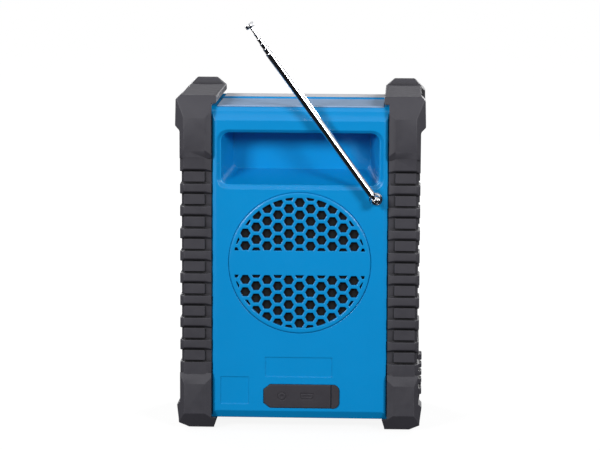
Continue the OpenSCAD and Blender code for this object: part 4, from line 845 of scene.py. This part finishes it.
@dataclass
class Bumpers:
    """The two rubber side bumpers with their screws and feet.

    Attributes:
        round_mm: Rounding of the bumpers' edges.
        screw_y_mm: Places of the side screws along the radio's depth.
        screw_z_mm: Their heights.
        head_r_mm: A head's radius.
        head_t_mm: Its height.
        shank_mm: Radius and length of the screw's shank.
        head_turn: Turn of a screw's cross, in degrees. Its place along the depth is added, so that the
            crosses do not all lie alike.
        foot_place_mm: A foot's distance from the middle along X and Y.
        foot_r_mm: Its radius.
        foot_t_mm: Its thickness.
    """

    round_mm: float = 0.8
    screw_y_mm: Point = (30.0, -34.0)
    screw_z_mm: Point = (80.0, 190.0)
    head_r_mm: float = 3.6
    head_t_mm: float = 2.0
    shank_mm: Point = (2.0, 12.0)
    head_turn: float = 20.0
    foot_place_mm: Point = (78.3, 40.0)
    foot_r_mm: float = 8.0
    foot_t_mm: float = 3.0

    def build(self) -> None:
        """Builds and dresses the bumpers' pieces."""
        for side in ("left", "right"):
            moulded("bumper_" + side, side + "_bumper", "body", BUMPER_ELASTOMER,
                    self.round_mm)
        self.screws()
        self.feet()

    def screws(self) -> None:
        """Puts a cross-headed screw in each of the bumpers' holes."""
        _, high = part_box("bumper_screws")
        reach = high[0] * MM_PER_M
        r, length = self.shank_mm
        work = Workpiece()
        for side in (1, -1):
            for y in self.screw_y_mm:
                for z in self.screw_z_mm:
                    seat = facing((side * (reach - self.head_t_mm), y, z), (side, 0, 0), self.head_turn + y)
                    work.cross_head(self.head_r_mm, self.head_t_mm, seat)
                    work.turned([(0, -length), (r, -length), (r, 0.01), (0, 0.01)], seat, 24)
        new_piece(work.mesh("side_screws"), "body", BLACK_STEEL, ["bumper_screws"])

    def feet(self) -> None:
        """Moulds the four feet, each with a rounded rim and two grooves in its sole."""
        r, t = self.foot_r_mm, self.foot_t_mm
        sole = [(0, 0.5), (2.2, 0.5), (2.5, 0.1), (4.4, 0.1), (4.7, 0.6), (5.4, 0.6), (5.7, 0.0),
                (r - 0.6, 0.0), (r - 0.2, 0.2), (r, 0.6), (r, t), (0, t)]
        work = Workpiece()
        for x in (1, -1):
            for y in (1, -1):
                place = (x * self.foot_place_mm[0], y * self.foot_place_mm[1], 0)
                work.turned(sole, facing(place, (0, 0, 1)), 48)
        new_piece(work.mesh("rubber_feet"), "body", FOOT_RUBBER, ["foot_pads"])


@dataclass
class Antenna:
    """The telescopic antenna on its ball knuckle, leaning in the plane behind the rear face.

    Attributes:
        pivot_mm: Where the mast turns on its pin.
        lean: The mast's lean from upright, in degrees.
        tubes: Number of tubes. The rod slides in the last one.
        mast_r_mm: Radius of the thickest tube.
        step_mm: How much thinner each next one is.
        mast_mm: Length from the pivot to the first tube's end.
        show_mm: How far each next tube stands out.
        rod_mm: How far the rod stands out under the button.
        lip_mm: Length of the rolled lip at a tube's end.
        lip_proud_mm: How far it stands round the tube.
        lip_gap_mm: Its gap round the next tube.
        button_r_mm: Radius of the end button.
        button_t_mm: Its thickness.
        pin_half_mm: Half the length of the pivot pin.
        pin_head_mm: Radius and height of its peened heads.
    """

    pivot_mm: Point3 = (-57.6, 66.0, 179.2)
    lean: float = 36.0
    tubes: int = 5
    mast_r_mm: float = 3.0
    step_mm: float = 0.4
    mast_mm: float = 137.0
    show_mm: float = 4.5
    rod_mm: float = 5.4
    lip_mm: float = 1.1
    lip_proud_mm: float = 0.1
    lip_gap_mm: float = 0.09
    button_r_mm: float = 3.7
    button_t_mm: float = 3.4
    pin_half_mm: float = 3.6
    pin_head_mm: Point = (1.3, 0.35)

    def build(self) -> None:
        """Builds and dresses the antenna's pieces."""
        dress(CHROME, "antenna_yoke", "antenna_rod")
        dress(ZINC_STEEL, "antenna_nut", "antenna_pin")
        for k in range(1, self.tubes + 1):
            dress(CHROME, f"antenna_tube_{k}")
            self.lip(k)
        self.button()
        self.pin_heads()

    def along(self, distance: float) -> Matrix:
        """Places a shape on the mast's axis.

        Args:
            distance: Distance from the mast's pivot, in millimetres.

        Returns:
            A matrix from local millimetres to metres.
        """
        a = math.radians(self.lean)
        axis = Vector((math.sin(a), 0, math.cos(a)))
        return facing(Vector(self.pivot_mm) + axis * distance, tuple(axis))

    def lip(self, number: int) -> None:
        """Rolls the lip at the end of one tube.

        Args:
            number: The tube's number, 1 for the thickest.
        """
        r = self.mast_r_mm - (number - 1) * self.step_mm
        bead, hole = r + self.lip_proud_mm, r - self.step_mm + self.lip_gap_mm
        end = self.mast_mm + (number - 1) * self.show_mm
        profile = [(r + 0.005, -self.lip_mm), (bead, -self.lip_mm + 0.2), (bead, -0.25), (r - 0.08, 0.06),
                   (hole + 0.05, 0.12), (hole, 0.0), (hole, -0.4), (r - 0.02, -0.4)]
        work = Workpiece()
        work.turned(profile, self.along(end), 64, closed=True)
        new_piece(work.mesh(f"tube_lip_{number}"), f"mast_{number}", CHROME)

    def button(self) -> None:
        """Turns the end button, with rounded edges and a groove round its waist."""
        r, t = self.button_r_mm, self.button_t_mm
        start = self.mast_mm + (self.tubes - 1) * self.show_mm + self.rod_mm
        profile = [(1.02, 0.0), (r - 0.9, 0.0), (r - 0.3, 0.25), (r, 0.7), (r, t * 0.38),
                   (r - 0.25, t * 0.44), (r - 0.25, t * 0.52), (r, t * 0.58), (r, t - 0.8),
                   (r - 0.25, t - 0.3), (r - 0.8, t), (0.0, t), (0.0, 1.0), (1.02, 1.0)]
        work = Workpiece()
        work.turned(profile, self.along(start), 64, closed=True)
        new_piece(work.mesh("end_button"), "mast_6", CHROME, ["antenna_tip"])

    def pin_heads(self) -> None:
        """Peens the two heads of the pivot pin."""
        a = math.radians(self.lean)
        across = Vector((math.cos(a), 0, -math.sin(a)))
        r, h = self.pin_head_mm
        work = Workpiece()
        for side in (1, -1):
            place = facing(Vector(self.pivot_mm) + across * side * self.pin_half_mm, tuple(across * side))
            profile = [(0.75, -0.3), (r, 0.0), (r * 0.9, h * 0.6), (r * 0.5, h * 0.95), (0, h)]
            work.turned(profile, place, 32)
        new_piece(work.mesh("pin_heads"), "swivel", ZINC_STEEL)


@dataclass
class Ports:
    """The rubber port cover and the sockets behind it.

    Attributes:
        flap_round_mm: Rounding of the cover's edges.
        height_mm: Height of the sockets' middles.
        face_y_mm: Plane of the sockets' faces.
        power_x_mm: Middle of the power socket.
        usb_x_mm: Middle of the USB socket.
        sound_x_mm: Middle of the sound socket.
        tongue_mm: Width and thickness of the USB socket's tongue, and how far it lies over the middle.
        usb_contacts: Number of its contacts.
        strip_mm: Width, length and thickness of a contact.
        strip_in_mm: How far behind the sockets' faces its middle lies.
    """

    flap_round_mm: float = 0.6
    height_mm: float = 26.2
    face_y_mm: float = 53.5
    power_x_mm: float = 13.2
    usb_x_mm: float = -6.0
    sound_x_mm: float = -20.0
    tongue_mm: Point3 = (11.0, 1.8, -0.6)
    usb_contacts: int = 4
    strip_mm: Point3 = (1.2, 7.0, 0.12)
    strip_in_mm: float = 5.0

    def build(self) -> None:
        """Builds and dresses the ports' pieces."""
        for node, name, body in (("port_flap", "port_cover", "cover"),
                                 ("port_flap_anchor", "port_cover_anchor", "body")):
            moulded(node, name, body, COVER_RUBBER, self.flap_round_mm, FINE)
        dress(INNER_ABS, "power_socket", "sound_socket")
        dress(ZINC_STEEL, "usb_socket")
        dress(BOARD_MASK, "port_board")
        self.sound_ring()
        self.power_pin()
        self.usb_strips()

    def sound_ring(self) -> None:
        """Turns the plated ring round the sound socket's mouth."""
        profile = [(1.82, -1.5), (2.3, -1.5), (2.7, 0.0), (2.7, 0.15), (2.5, 0.3), (2.0, 0.3), (1.82, 0.1)]
        work = Workpiece()
        place = facing((self.sound_x_mm, self.face_y_mm, self.height_mm), (0, 1, 0))
        work.turned(profile, place, 48, closed=True)
        new_piece(work.mesh("sound_socket_ring"), "body", GOLD_FLASH)

    def power_pin(self) -> None:
        """Turns the plated sleeve over the power socket's pin."""
        profile = [(1.0, -12), (1.15, -12), (1.15, -1.8), (0.9, -1.25), (0.35, -1.0), (0, -1.0),
                   (0, -1.15), (1.0, -1.15)]
        work = Workpiece()
        place = facing((self.power_x_mm, self.face_y_mm, self.height_mm), (0, 1, 0))
        work.turned(profile, place, 32)
        new_piece(work.mesh("power_socket_sleeve"), "body", GOLD_FLASH)

    def usb_strips(self) -> None:
        """Lays the contact strips on the USB socket's tongue."""
        width, thick, drop = self.tongue_mm
        strip_width, length, proud = self.strip_mm
        work = Workpiece()
        pitch = width / (self.usb_contacts + 0.5)
        for k in range(self.usb_contacts):
            x = self.usb_x_mm + (k - (self.usb_contacts - 1) / 2) * pitch
            place = facing((x, self.face_y_mm - self.strip_in_mm, self.height_mm + drop + thick / 2),
                           (0, 0, 1))
            work.slab(box_outline(strip_width, length, 0.2), -0.1, proud, place, 0.05)
        new_piece(work.mesh("usb_contact_strips"), "body", GOLD_FLASH)


class Mark(Enum):
    """A generic mark printed on a key."""

    POWER = "power"
    MODE = "mode"
    ONE = "one"
    TWO = "two"
    THREE = "three"

    def lines(self) -> list[list[Point]]:
        """Returns the mark's lines, about 2 high round its middle."""
        if self is Mark.POWER:
            return [arc(1.0, 120, 420, 24), [(0.0, 0.35), (0.0, 1.15)]]
        if self is Mark.MODE:
            return [[(-0.9, h), (0.9, h)] for h in (-0.65, 0.0, 0.65)]
        if self is Mark.ONE:
            return [[(-0.4, 0.6), (0.05, 1.0), (0.05, -1.0)]]
        if self is Mark.TWO:
            bend = [(x, y + 0.45) for x, y in arc(0.55, 160, -35, 10)]
            return [bend + [(-0.6, -1.0), (0.65, -1.0)]]
        upper = [(x, y + 0.5) for x, y in arc(0.5, 150, -90, 10)]
        lower = [(x, y - 0.48) for x, y in arc(0.55, 90, -150, 10)]
        return [upper + lower[1:]]


@dataclass
class Controls:
    """The control panel with its display, keys and knobs. Its front is the radio's front.

    Attributes:
        panel_round_mm: Rounding of the panel's edges.
        knob_round_mm: Rounding of the knobs' edges.
        key_round_mm: Rounding of the keys' edges.
        face_y_mm: Plane of the panel's face.
        key_face_y_mm: Plane of the keys' faces.
        knob_face_y_mm: Plane of the knobs' faces.
        ink_mm: Thickness of printed marks.
        knob_x_mm: Distance of each knob and side key from the middle plane.
        knob_z_mm: Height of the knobs.
        knob_r_mm: A knob's radius.
        tick_mm: Length of a tick mark.
        long_tick: How many times as long the first, middle and last are.
        tick_gap_mm: Gap between a knob and its ticks.
        tick_step: Angle between ticks, in degrees.
        tick_span: How far the ticks reach each way from the top, in degrees.
        preset_pitch_mm: Pitch of the preset keys.
        preset_z_mm: Their height.
        side_key_z_mm: Height of the side keys.
        time: The time on the display.
        digit_mm: Width and height of a digit on the display.
        digit_pitch_mm: Distance between digits.
        colon_gap_mm: Half of what the colon adds to that.
        bar_gap_mm: How much a digit's bar falls short at each end.
        dot_mm: Side of the colon's dots, and radius of their corners.
        level_mm: Width of a level bar, height of the lowest, and how much each next one is higher.
        level_place_mm: Where the first stands beside the middle, their pitch, and their foot over the digits.
        levels: Number of level bars.
        display_y_mm: Plane of the display's face.
        display_drop_mm: How far the digits' middle lies under the side keys'.
        segments: The bars that are dark for each digit.
        mark_scale: Size of a key's mark, in millimetres for each unit of its drawing.
        mark_line_mm: Width of its lines.
        pointer_mm: Width, length and thickness of a knob's pointer.
        pointer_in_mm: How far the pointer's middle lies inside the knob's rim.
        pointer_groove_mm: Depth of the groove that it fills.
        tick_line_mm: Width of a tick mark.
        digit_line_mm: Width of a digit's bars.
        digit_slant: How far a digit leans, for each unit of height.
        display_ink_mm: Thickness of the display's segments.
        border_mm: Width and thickness of the window's border.
        border_in_mm: How much smaller than the window its middle line is, and radius of its corners.
    """

    panel_round_mm: float = 0.6
    knob_round_mm: float = 0.5
    key_round_mm: float = 0.6
    face_y_mm: float = -57.0
    key_face_y_mm: float = -58.8
    knob_face_y_mm: float = -66.5
    ink_mm: float = 0.06
    knob_x_mm: float = 47.0
    knob_z_mm: float = 175.8
    knob_r_mm: float = 10.5
    tick_mm: float = 1.6
    long_tick: float = 1.4
    tick_gap_mm: float = 1.2
    tick_step: int = 30
    tick_span: int = 150
    preset_pitch_mm: float = 16.0
    preset_z_mm: float = 179.8
    side_key_z_mm: float = 208.8
    time: str = "1200"
    digit_mm: Point = (7.0, 13.0)
    digit_pitch_mm: float = 11.0
    colon_gap_mm: float = 1.5
    bar_gap_mm: float = 0.5
    dot_mm: Point = (1.5, 0.3)
    level_mm: Point3 = (1.2, 0.8, 0.45)
    level_place_mm: Point3 = (19.5, 1.8, 1.6)
    levels: int = 6
    display_y_mm: float = -54.1
    display_drop_mm: float = 1.5
    segments: dict[str, str] = field(default_factory=lambda: {"0": "abcdef", "1": "bc", "2": "abged"})
    mark_scale: float = 1.6
    mark_line_mm: float = 0.55
    pointer_mm: Point3 = (0.9, 4.0, 0.35)
    pointer_in_mm: float = 3.4
    pointer_groove_mm: float = 0.52
    tick_line_mm: float = 0.5
    digit_line_mm: float = 1.3
    digit_slant: float = 0.08
    display_ink_mm: float = 0.05
    border_mm: Point = (1.9, 0.03)
    border_in_mm: Point = (2.2, 1.0)

    def build(self) -> None:
        """Builds and dresses the controls' pieces."""
        moulded("control_panel", "control_fascia", "body", PANEL_ABS, self.panel_round_mm,
                FINE)
        dress(WINDOW_ACRYLIC, "display_window")
        dress(DISPLAY_GLASS, "lcd_module")
        dress(BOARD_MASK, "control_board", "main_board")
        dress(INNER_ABS, "key_switches")
        for side, knob in ((1, "volume"), (-1, "tuning")):
            dress(ZINC_STEEL, knob + "_encoder", knob + "_shaft")
            moulded(knob + "_knob", knob + "_dial", knob, SOFT_TOUCH, self.knob_round_mm,
                    FINE)
            self.pointer(side, knob)
        keys = (("power_key", "power", Mark.POWER, (-self.knob_x_mm, self.side_key_z_mm)),
                ("mode_key", "mode", Mark.MODE, (self.knob_x_mm, self.side_key_z_mm)),
                ("preset_key_1", "preset_1", Mark.ONE, (-self.preset_pitch_mm, self.preset_z_mm)),
                ("preset_key_2", "preset_2", Mark.TWO, (0.0, self.preset_z_mm)),
                ("preset_key_3", "preset_3", Mark.THREE, (self.preset_pitch_mm, self.preset_z_mm)))
        for node, body, mark, place in keys:
            moulded(node, node + "_cap", body, KEY_ABS, self.key_round_mm, FINE)
            self.print_mark(node + "_mark", body, mark, place)
        self.ticks()
        self.digits()
        self.window_border()

    @staticmethod
    def front(x: float, y: float, z: float) -> Matrix:
        """Returns the place of a drawing that faces the front, with its own X to the viewer's right."""
        upright = Matrix(((1, 0, 0, 0), (0, 0, -1, 0), (0, 1, 0, 0), (0, 0, 0, 1)))
        return Matrix.Translation((mm(x), mm(y), mm(z))) @ upright @ Matrix.Scale(mm(1), 4)

    def print_mark(self, name: str, body: str, mark: Mark, place: Point) -> None:
        """Prints a mark on a key.

        Args:
            name: The piece's name.
            body: The key's body.
            mark: What is printed.
            place: The key's X and Z.
        """
        work = Workpiece()
        for points in mark.lines():
            scaled = [(self.mark_scale * x, self.mark_scale * y) for x, y in points]
            work.line(scaled, self.mark_line_mm, self.ink_mm,
                      self.front(place[0], self.key_face_y_mm, place[1]))
        new_piece(work.mesh(name), body, DARK_INK)

    def pointer(self, side: int, body: str) -> None:
        """Fills the pointer's groove in a knob with white paint.

        Args:
            side: 1 for the knob at +X, -1 for the one at -X.
            body: The knob's body.
        """
        width, length, thick = self.pointer_mm
        place = self.front(side * self.knob_x_mm, self.knob_face_y_mm + self.pointer_groove_mm,
                           self.knob_z_mm)
        work = Workpiece()
        work.slab(box_outline(width, length, 0.3, (0.0, self.knob_r_mm - self.pointer_in_mm)), 0.0, thick,
                  place, 0.08)
        new_piece(work.mesh(body + "_pointer"), body, WHITE_INK)

    def ticks(self) -> None:
        """Prints the tick marks round both knobs."""
        near = self.knob_r_mm + self.tick_gap_mm
        work = Workpiece()
        for side in (1, -1):
            place = self.front(side * self.knob_x_mm, self.face_y_mm, self.knob_z_mm)
            for angle in range(-self.tick_span, self.tick_span + 1, self.tick_step):
                a = math.radians(90 - angle)
                far = near + self.tick_mm * (self.long_tick if abs(angle) in (0, self.tick_span) else 1.0)
                ends = [(r * math.cos(a), r * math.sin(a)) for r in (near, far)]
                work.line(ends, self.tick_line_mm, self.ink_mm, place)
        new_piece(work.mesh("knob_ticks"), "body", WHITE_INK)

    def digits(self) -> None:
        """Draws a time in seven-segment digits, and a level bar, on the display."""
        w, h = self.digit_mm
        bars = {"a": (0, h / 2, False), "g": (0, 0, False), "d": (0, -h / 2, False),
                "b": (w / 2, h / 4, True), "c": (w / 2, -h / 4, True), "f": (-w / 2, h / 4, True),
                "e": (-w / 2, -h / 4, True)}
        work = Workpiece()
        middle_z = self.side_key_z_mm - self.display_drop_mm
        for k, digit in enumerate(self.time):
            place = k - (len(self.time) - 1) / 2
            x = place * self.digit_pitch_mm + math.copysign(self.colon_gap_mm, place)
            for name in self.segments[digit]:
                cx, cy, upright = bars[name]
                half = (h / 2 if upright else w) / 2 - self.bar_gap_mm
                ends = [(0.0, -half), (0.0, half)] if upright else [(-half, 0.0), (half, 0.0)]
                work.line([(cx + a + self.digit_slant * (cy + b), cy + b) for a, b in ends],
                          self.digit_line_mm, self.display_ink_mm,
                          self.front(x, self.display_y_mm, middle_z))
        side, corner = self.dot_mm
        for dot in (-h / 5, h / 5):
            work.slab(box_outline(side, side, corner, (0.0, dot)), 0.0, self.display_ink_mm,
                      self.front(0, self.display_y_mm, middle_z))
        (width, lowest, rise), (start, pitch, lift) = self.level_mm, self.level_place_mm
        for k in range(self.levels):
            tall = lowest + rise * k
            work.slab(box_outline(width, tall, 0.0, (0.0, tall / 2)), 0.0, self.display_ink_mm,
                      self.front(start + pitch * k, self.display_y_mm, middle_z + h / 2 + lift))
        new_piece(work.mesh("display_digits"), "body", DISPLAY_INK)

    def window_border(self) -> None:
        """Prints the dark border behind the window's edge."""
        low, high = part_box("display_window")
        size = (Vector(high) - Vector(low)) * MM_PER_M
        place = self.front(0.0, low[1] * MM_PER_M, (low[2] + high[2]) * MM_PER_M / 2)
        work = Workpiece()
        less, corner = self.border_in_mm
        edge = box_outline(size.x - less, size.z - less, corner)
        work.line(edge + edge[:1], *self.border_mm, place)
        new_piece(work.mesh("window_border"), "body", INNER_ABS)


@dataclass
class Drivers:
    """The two speakers behind the grilles.

    Attributes:
        names: What the speakers' nodes start with, at the rear and at the front.
    """

    names: tuple[str, str] = ("subwoofer", "speaker")

    def build(self) -> None:
        """Dresses the speakers' pieces."""
        for name in self.names:
            dress(BLACK_STEEL, name + "_basket")
            dress(CONE_PAPER, name + "_cone")
            dress(ROLL_RUBBER, name + "_surround")
            dress(FERRITE, name + "_magnet")
        dress(BLACK_STEEL, "driver_screws")


@dataclass
class Battery:
    """The battery pack in its tray, behind its door.

    Attributes:
        door_round_mm: Rounding of the door's edges.
    """

    door_round_mm: float = 0.7

    def build(self) -> None:
        """Builds and dresses the battery's pieces."""
        dress(INNER_ABS, "battery_tray")
        dress(PACK_ABS, "battery_pack")
        dress(GOLD_FLASH, "battery_contacts")
        dress(ZINC_STEEL, "battery_door_pin")
        moulded("battery_door", "battery_hatch", "door", BUMPER_ELASTOMER,
                self.door_round_mm)


# ---------------------------------------------------------------- studio

@dataclass
class Studio:
    """White world, floor, softboxes, dark cards for the gloss, and the camera.

    Attributes:
        camera_mm: Where the camera stands.
        aim_mm: The point at the picture's centre.
        lens_mm: The camera's focal length.
        sensor_mm: Width of its sensor.
        sight_mm: How far it sees.
        roll: The camera's roll, in degrees.
        middle_mm: Height of the radio's middle, which the lamps face.
        world_level: Strength of the even light from all round.
        floor_half_mm: Half the floor's side.
        floor_albedo: How much light the floor sends back up.
        floor_glow: What the floor adds for the camera and in reflections, near the radio and far off.
        floor_reach_mm: Where the first ends and the second starts.
        card_distance_mm: Where each card, which starts under the radio, turns up.
        card_size_mm: Its width, and its height where it stands.
        card_lift_mm: Height of the cards over the floor.
        card_colour: Their colour, sRGB hex.
        card_azimuths: The directions in which they lie, in degrees.
        lamps: Each softbox's azimuth in degrees and power in watts.
        lamp_elevation: Their elevation, in degrees.
        lamp_distance_mm: Their distance from the radio's middle.
        lamp_size_mm: The side of each.
    """

    camera_mm: Point3 = (-82.3, 1974.5, 434.4)
    aim_mm: Point3 = (2.22, 0.0, 150.8)
    lens_mm: float = 153.3
    sensor_mm: float = 36.0
    sight_mm: float = 100000.0
    roll: float = 0.2487
    middle_mm: float = 127.0
    world_level: float = 0.16
    floor_half_mm: float = 15000.0
    floor_albedo: float = 0.12
    floor_glow: Point = (0.9, 0.98)
    floor_reach_mm: Point = (350.0, 2200.0)
    card_distance_mm: float = 2600.0
    card_size_mm: Point = (1900.0, 1500.0)
    card_lift_mm: float = 0.5
    card_colour: str = "#1C1C1E"
    card_azimuths: tuple[int, ...] = (0, 45, 90, 180, 225, 270, 315)
    lamps: tuple[Point, ...] = ((146, 19.0), (214, 17.0), (34, 17.0), (-34, 19.0), (90, 7.0), (-90, 7.0))
    lamp_elevation: float = 21.0
    lamp_distance_mm: float = 1800.0
    lamp_size_mm: float = 420.0

    def build(self) -> None:
        """Builds the studio."""
        self.world()
        self.floor()
        self.cards()
        for azimuth, watts in self.lamps:
            self.lamp(azimuth, watts)
        self.camera()
        bpy.context.scene.view_settings.view_transform = "Standard"

    def camera(self) -> None:
        """Places the camera where the photograph was taken from."""
        data = bpy.data.cameras.new("camera")
        data.sensor_width = self.sensor_mm
        data.lens = self.lens_mm
        data.clip_end = mm(self.sight_mm)
        camera = new_object("camera", data)
        place = Vector([mm(v) for v in self.camera_mm])
        aim = Vector([mm(v) for v in self.aim_mm])
        camera.location = place
        camera.rotation_mode = "QUATERNION"
        look = (aim - place).to_track_quat("-Z", "Y")
        camera.rotation_quaternion = look @ Quaternion((0, 0, 1), math.radians(self.roll))
        bpy.context.scene.camera = camera

    @staticmethod
    def shown_rays(tree: bpy.types.NodeTree) -> bpy.types.NodeSocket:
        """Adds up the camera, glossy and transmission rays, which see the white background.

        Args:
            tree: The node tree that needs them.

        Returns:
            A socket that is 1 for those rays and 0 for the rest.
        """
        node = partial(add_node, tree)
        path = node("ShaderNodeLightPath")
        both = node("ShaderNodeMath", {"operation": "ADD", "use_clamp": True},
                    {0: path.outputs["Is Camera Ray"], 1: path.outputs["Is Glossy Ray"]})
        return node("ShaderNodeMath", {"operation": "ADD", "use_clamp": True},
                    {0: both.outputs["Value"], 1: path.outputs["Is Transmission Ray"]}).outputs["Value"]

    def world(self) -> None:
        """Lights the scene evenly, and shows as white."""
        world = bpy.data.worlds.new("studio")
        bpy.context.scene.world = world
        world.use_nodes = True
        tree = world.node_tree
        tree.nodes.clear()
        node = partial(add_node, tree)
        level = node("ShaderNodeMapRange", {"To Min": self.world_level, "To Max": 1.0},
                     {"Value": self.shown_rays(tree)})
        light = node("ShaderNodeBackground", {"Color": (1, 1, 1, 1)}, {"Strength": level.outputs["Result"]})
        node("ShaderNodeOutputWorld", links={"Surface": light.outputs["Background"]})

    @staticmethod
    def sheet(name: str, corners: Sequence[Point3], faces: Sequence[Sequence[int]],
              paint: bpy.types.Material) -> bpy.types.Object:
        """Stands a sheet in the studio.

        Args:
            name: Its name.
            corners: Its corners, in metres.
            faces: The numbers of each face's corners.
            paint: Its material.

        Returns:
            The sheet.
        """
        mesh = bpy.data.meshes.new(name)
        mesh.from_pydata(corners, [], faces)
        mesh.materials.append(paint)
        made = new_object(name, mesh)
        return made

    def floor(self) -> None:
        """Lays a plain pale floor that keeps the radio's shadow."""
        half = mm(self.floor_half_mm)
        paint = blank_material("matt_white_floor")
        tree = paint.node_tree
        node = partial(add_node, tree)
        place = node("ShaderNodeTexCoord").outputs["Object"]
        away = node("ShaderNodeVectorMath", {"operation": "LENGTH"}, {0: place})
        near, far = self.floor_glow
        start, end = self.floor_reach_mm
        level = node("ShaderNodeMapRange",
                     {"From Min": mm(start), "From Max": mm(end), "To Min": near, "To Max": far},
                     {"Value": away.outputs["Value"]})
        glow = node("ShaderNodeMath", {"operation": "MULTIPLY"},
                    {0: self.shown_rays(tree), 1: level.outputs["Result"]})
        grey = self.floor_albedo
        matt = node("ShaderNodeBsdfDiffuse", {"Color": (grey, grey, grey, 1)})
        light = node("ShaderNodeEmission", {"Color": (1, 1, 1, 1)}, {"Strength": glow.outputs["Value"]})
        both = node("ShaderNodeAddShader", links={0: matt.outputs["BSDF"], 1: light.outputs["Emission"]})
        node("ShaderNodeOutputMaterial", links={"Surface": both.outputs["Shader"]})
        self.sheet("floor", [(-half, -half, 0), (half, -half, 0), (half, half, 0), (-half, half, 0)],
                   [(0, 1, 2, 3)], paint)

    def cards(self) -> None:
        """Lays dark cards round the radio that turn up at their far ends. Only reflections see them.

        One direction stays free of them, and the chrome antenna mirrors the white behind as a bright streak.
        """
        paint = blank_material("black_card")
        tree = paint.node_tree
        node = partial(add_node, tree)
        tone = node("ShaderNodeEmission", {"Color": linear(self.card_colour), "Strength": 1.0})
        node("ShaderNodeOutputMaterial", links={"Surface": tone.outputs["Emission"]})
        half, height = mm(self.card_size_mm[0]) / 2, mm(self.card_size_mm[1])
        lift = Vector((0, 0, mm(self.card_lift_mm)))
        for azimuth in self.card_azimuths:
            a = math.radians(azimuth)
            out = Vector((math.sin(a), -math.cos(a), 0))
            side = Vector((math.cos(a), math.sin(a), 0)) * half
            foot = out * mm(self.card_distance_mm)
            spine = [lift, foot + lift, foot + Vector((0, 0, height))]
            corners = [tuple(spot + side * way) for spot in spine for way in (-1, 1)]
            card = self.sheet(f"card_{azimuth}", corners, [(0, 1, 3, 2), (2, 3, 5, 4)], paint)
            card.visible_camera = False
            card.visible_diffuse = False
            card.visible_shadow = False
            card.visible_transmission = False

    def lamp(self, azimuth: float, watts: float) -> None:
        """Stands one square softbox that faces the radio.

        Args:
            azimuth: Its direction from the radio, in degrees.
            watts: Its power.
        """
        data = bpy.data.lights.new(f"softbox_{azimuth}", "AREA")
        data.shape = "SQUARE"
        data.size = mm(self.lamp_size_mm)
        data.energy = watts
        lamp = new_object(data.name, data)
        a, e = math.radians(azimuth), math.radians(self.lamp_elevation)
        out = Vector((math.sin(a) * math.cos(e), -math.cos(a) * math.cos(e), math.sin(e)))
        lamp.location = Vector((0, 0, mm(self.middle_mm))) + out * mm(self.lamp_distance_mm)
        lamp.rotation_euler = (-out).to_track_quat("-Z", "Y").to_euler()


def main() -> None:
    """Builds every sub-assembly in order, then the studio."""
    logging.basicConfig(level=logging.INFO, format="%(name)s: %(message)s")
    for part in (Casing(), Bumpers(), Antenna(), Ports(), Controls(), Drivers(), Battery()):
        part.build()
        log.info("%s done", type(part).__name__)
    Studio().build()


if __name__ == "__main__":
    main()
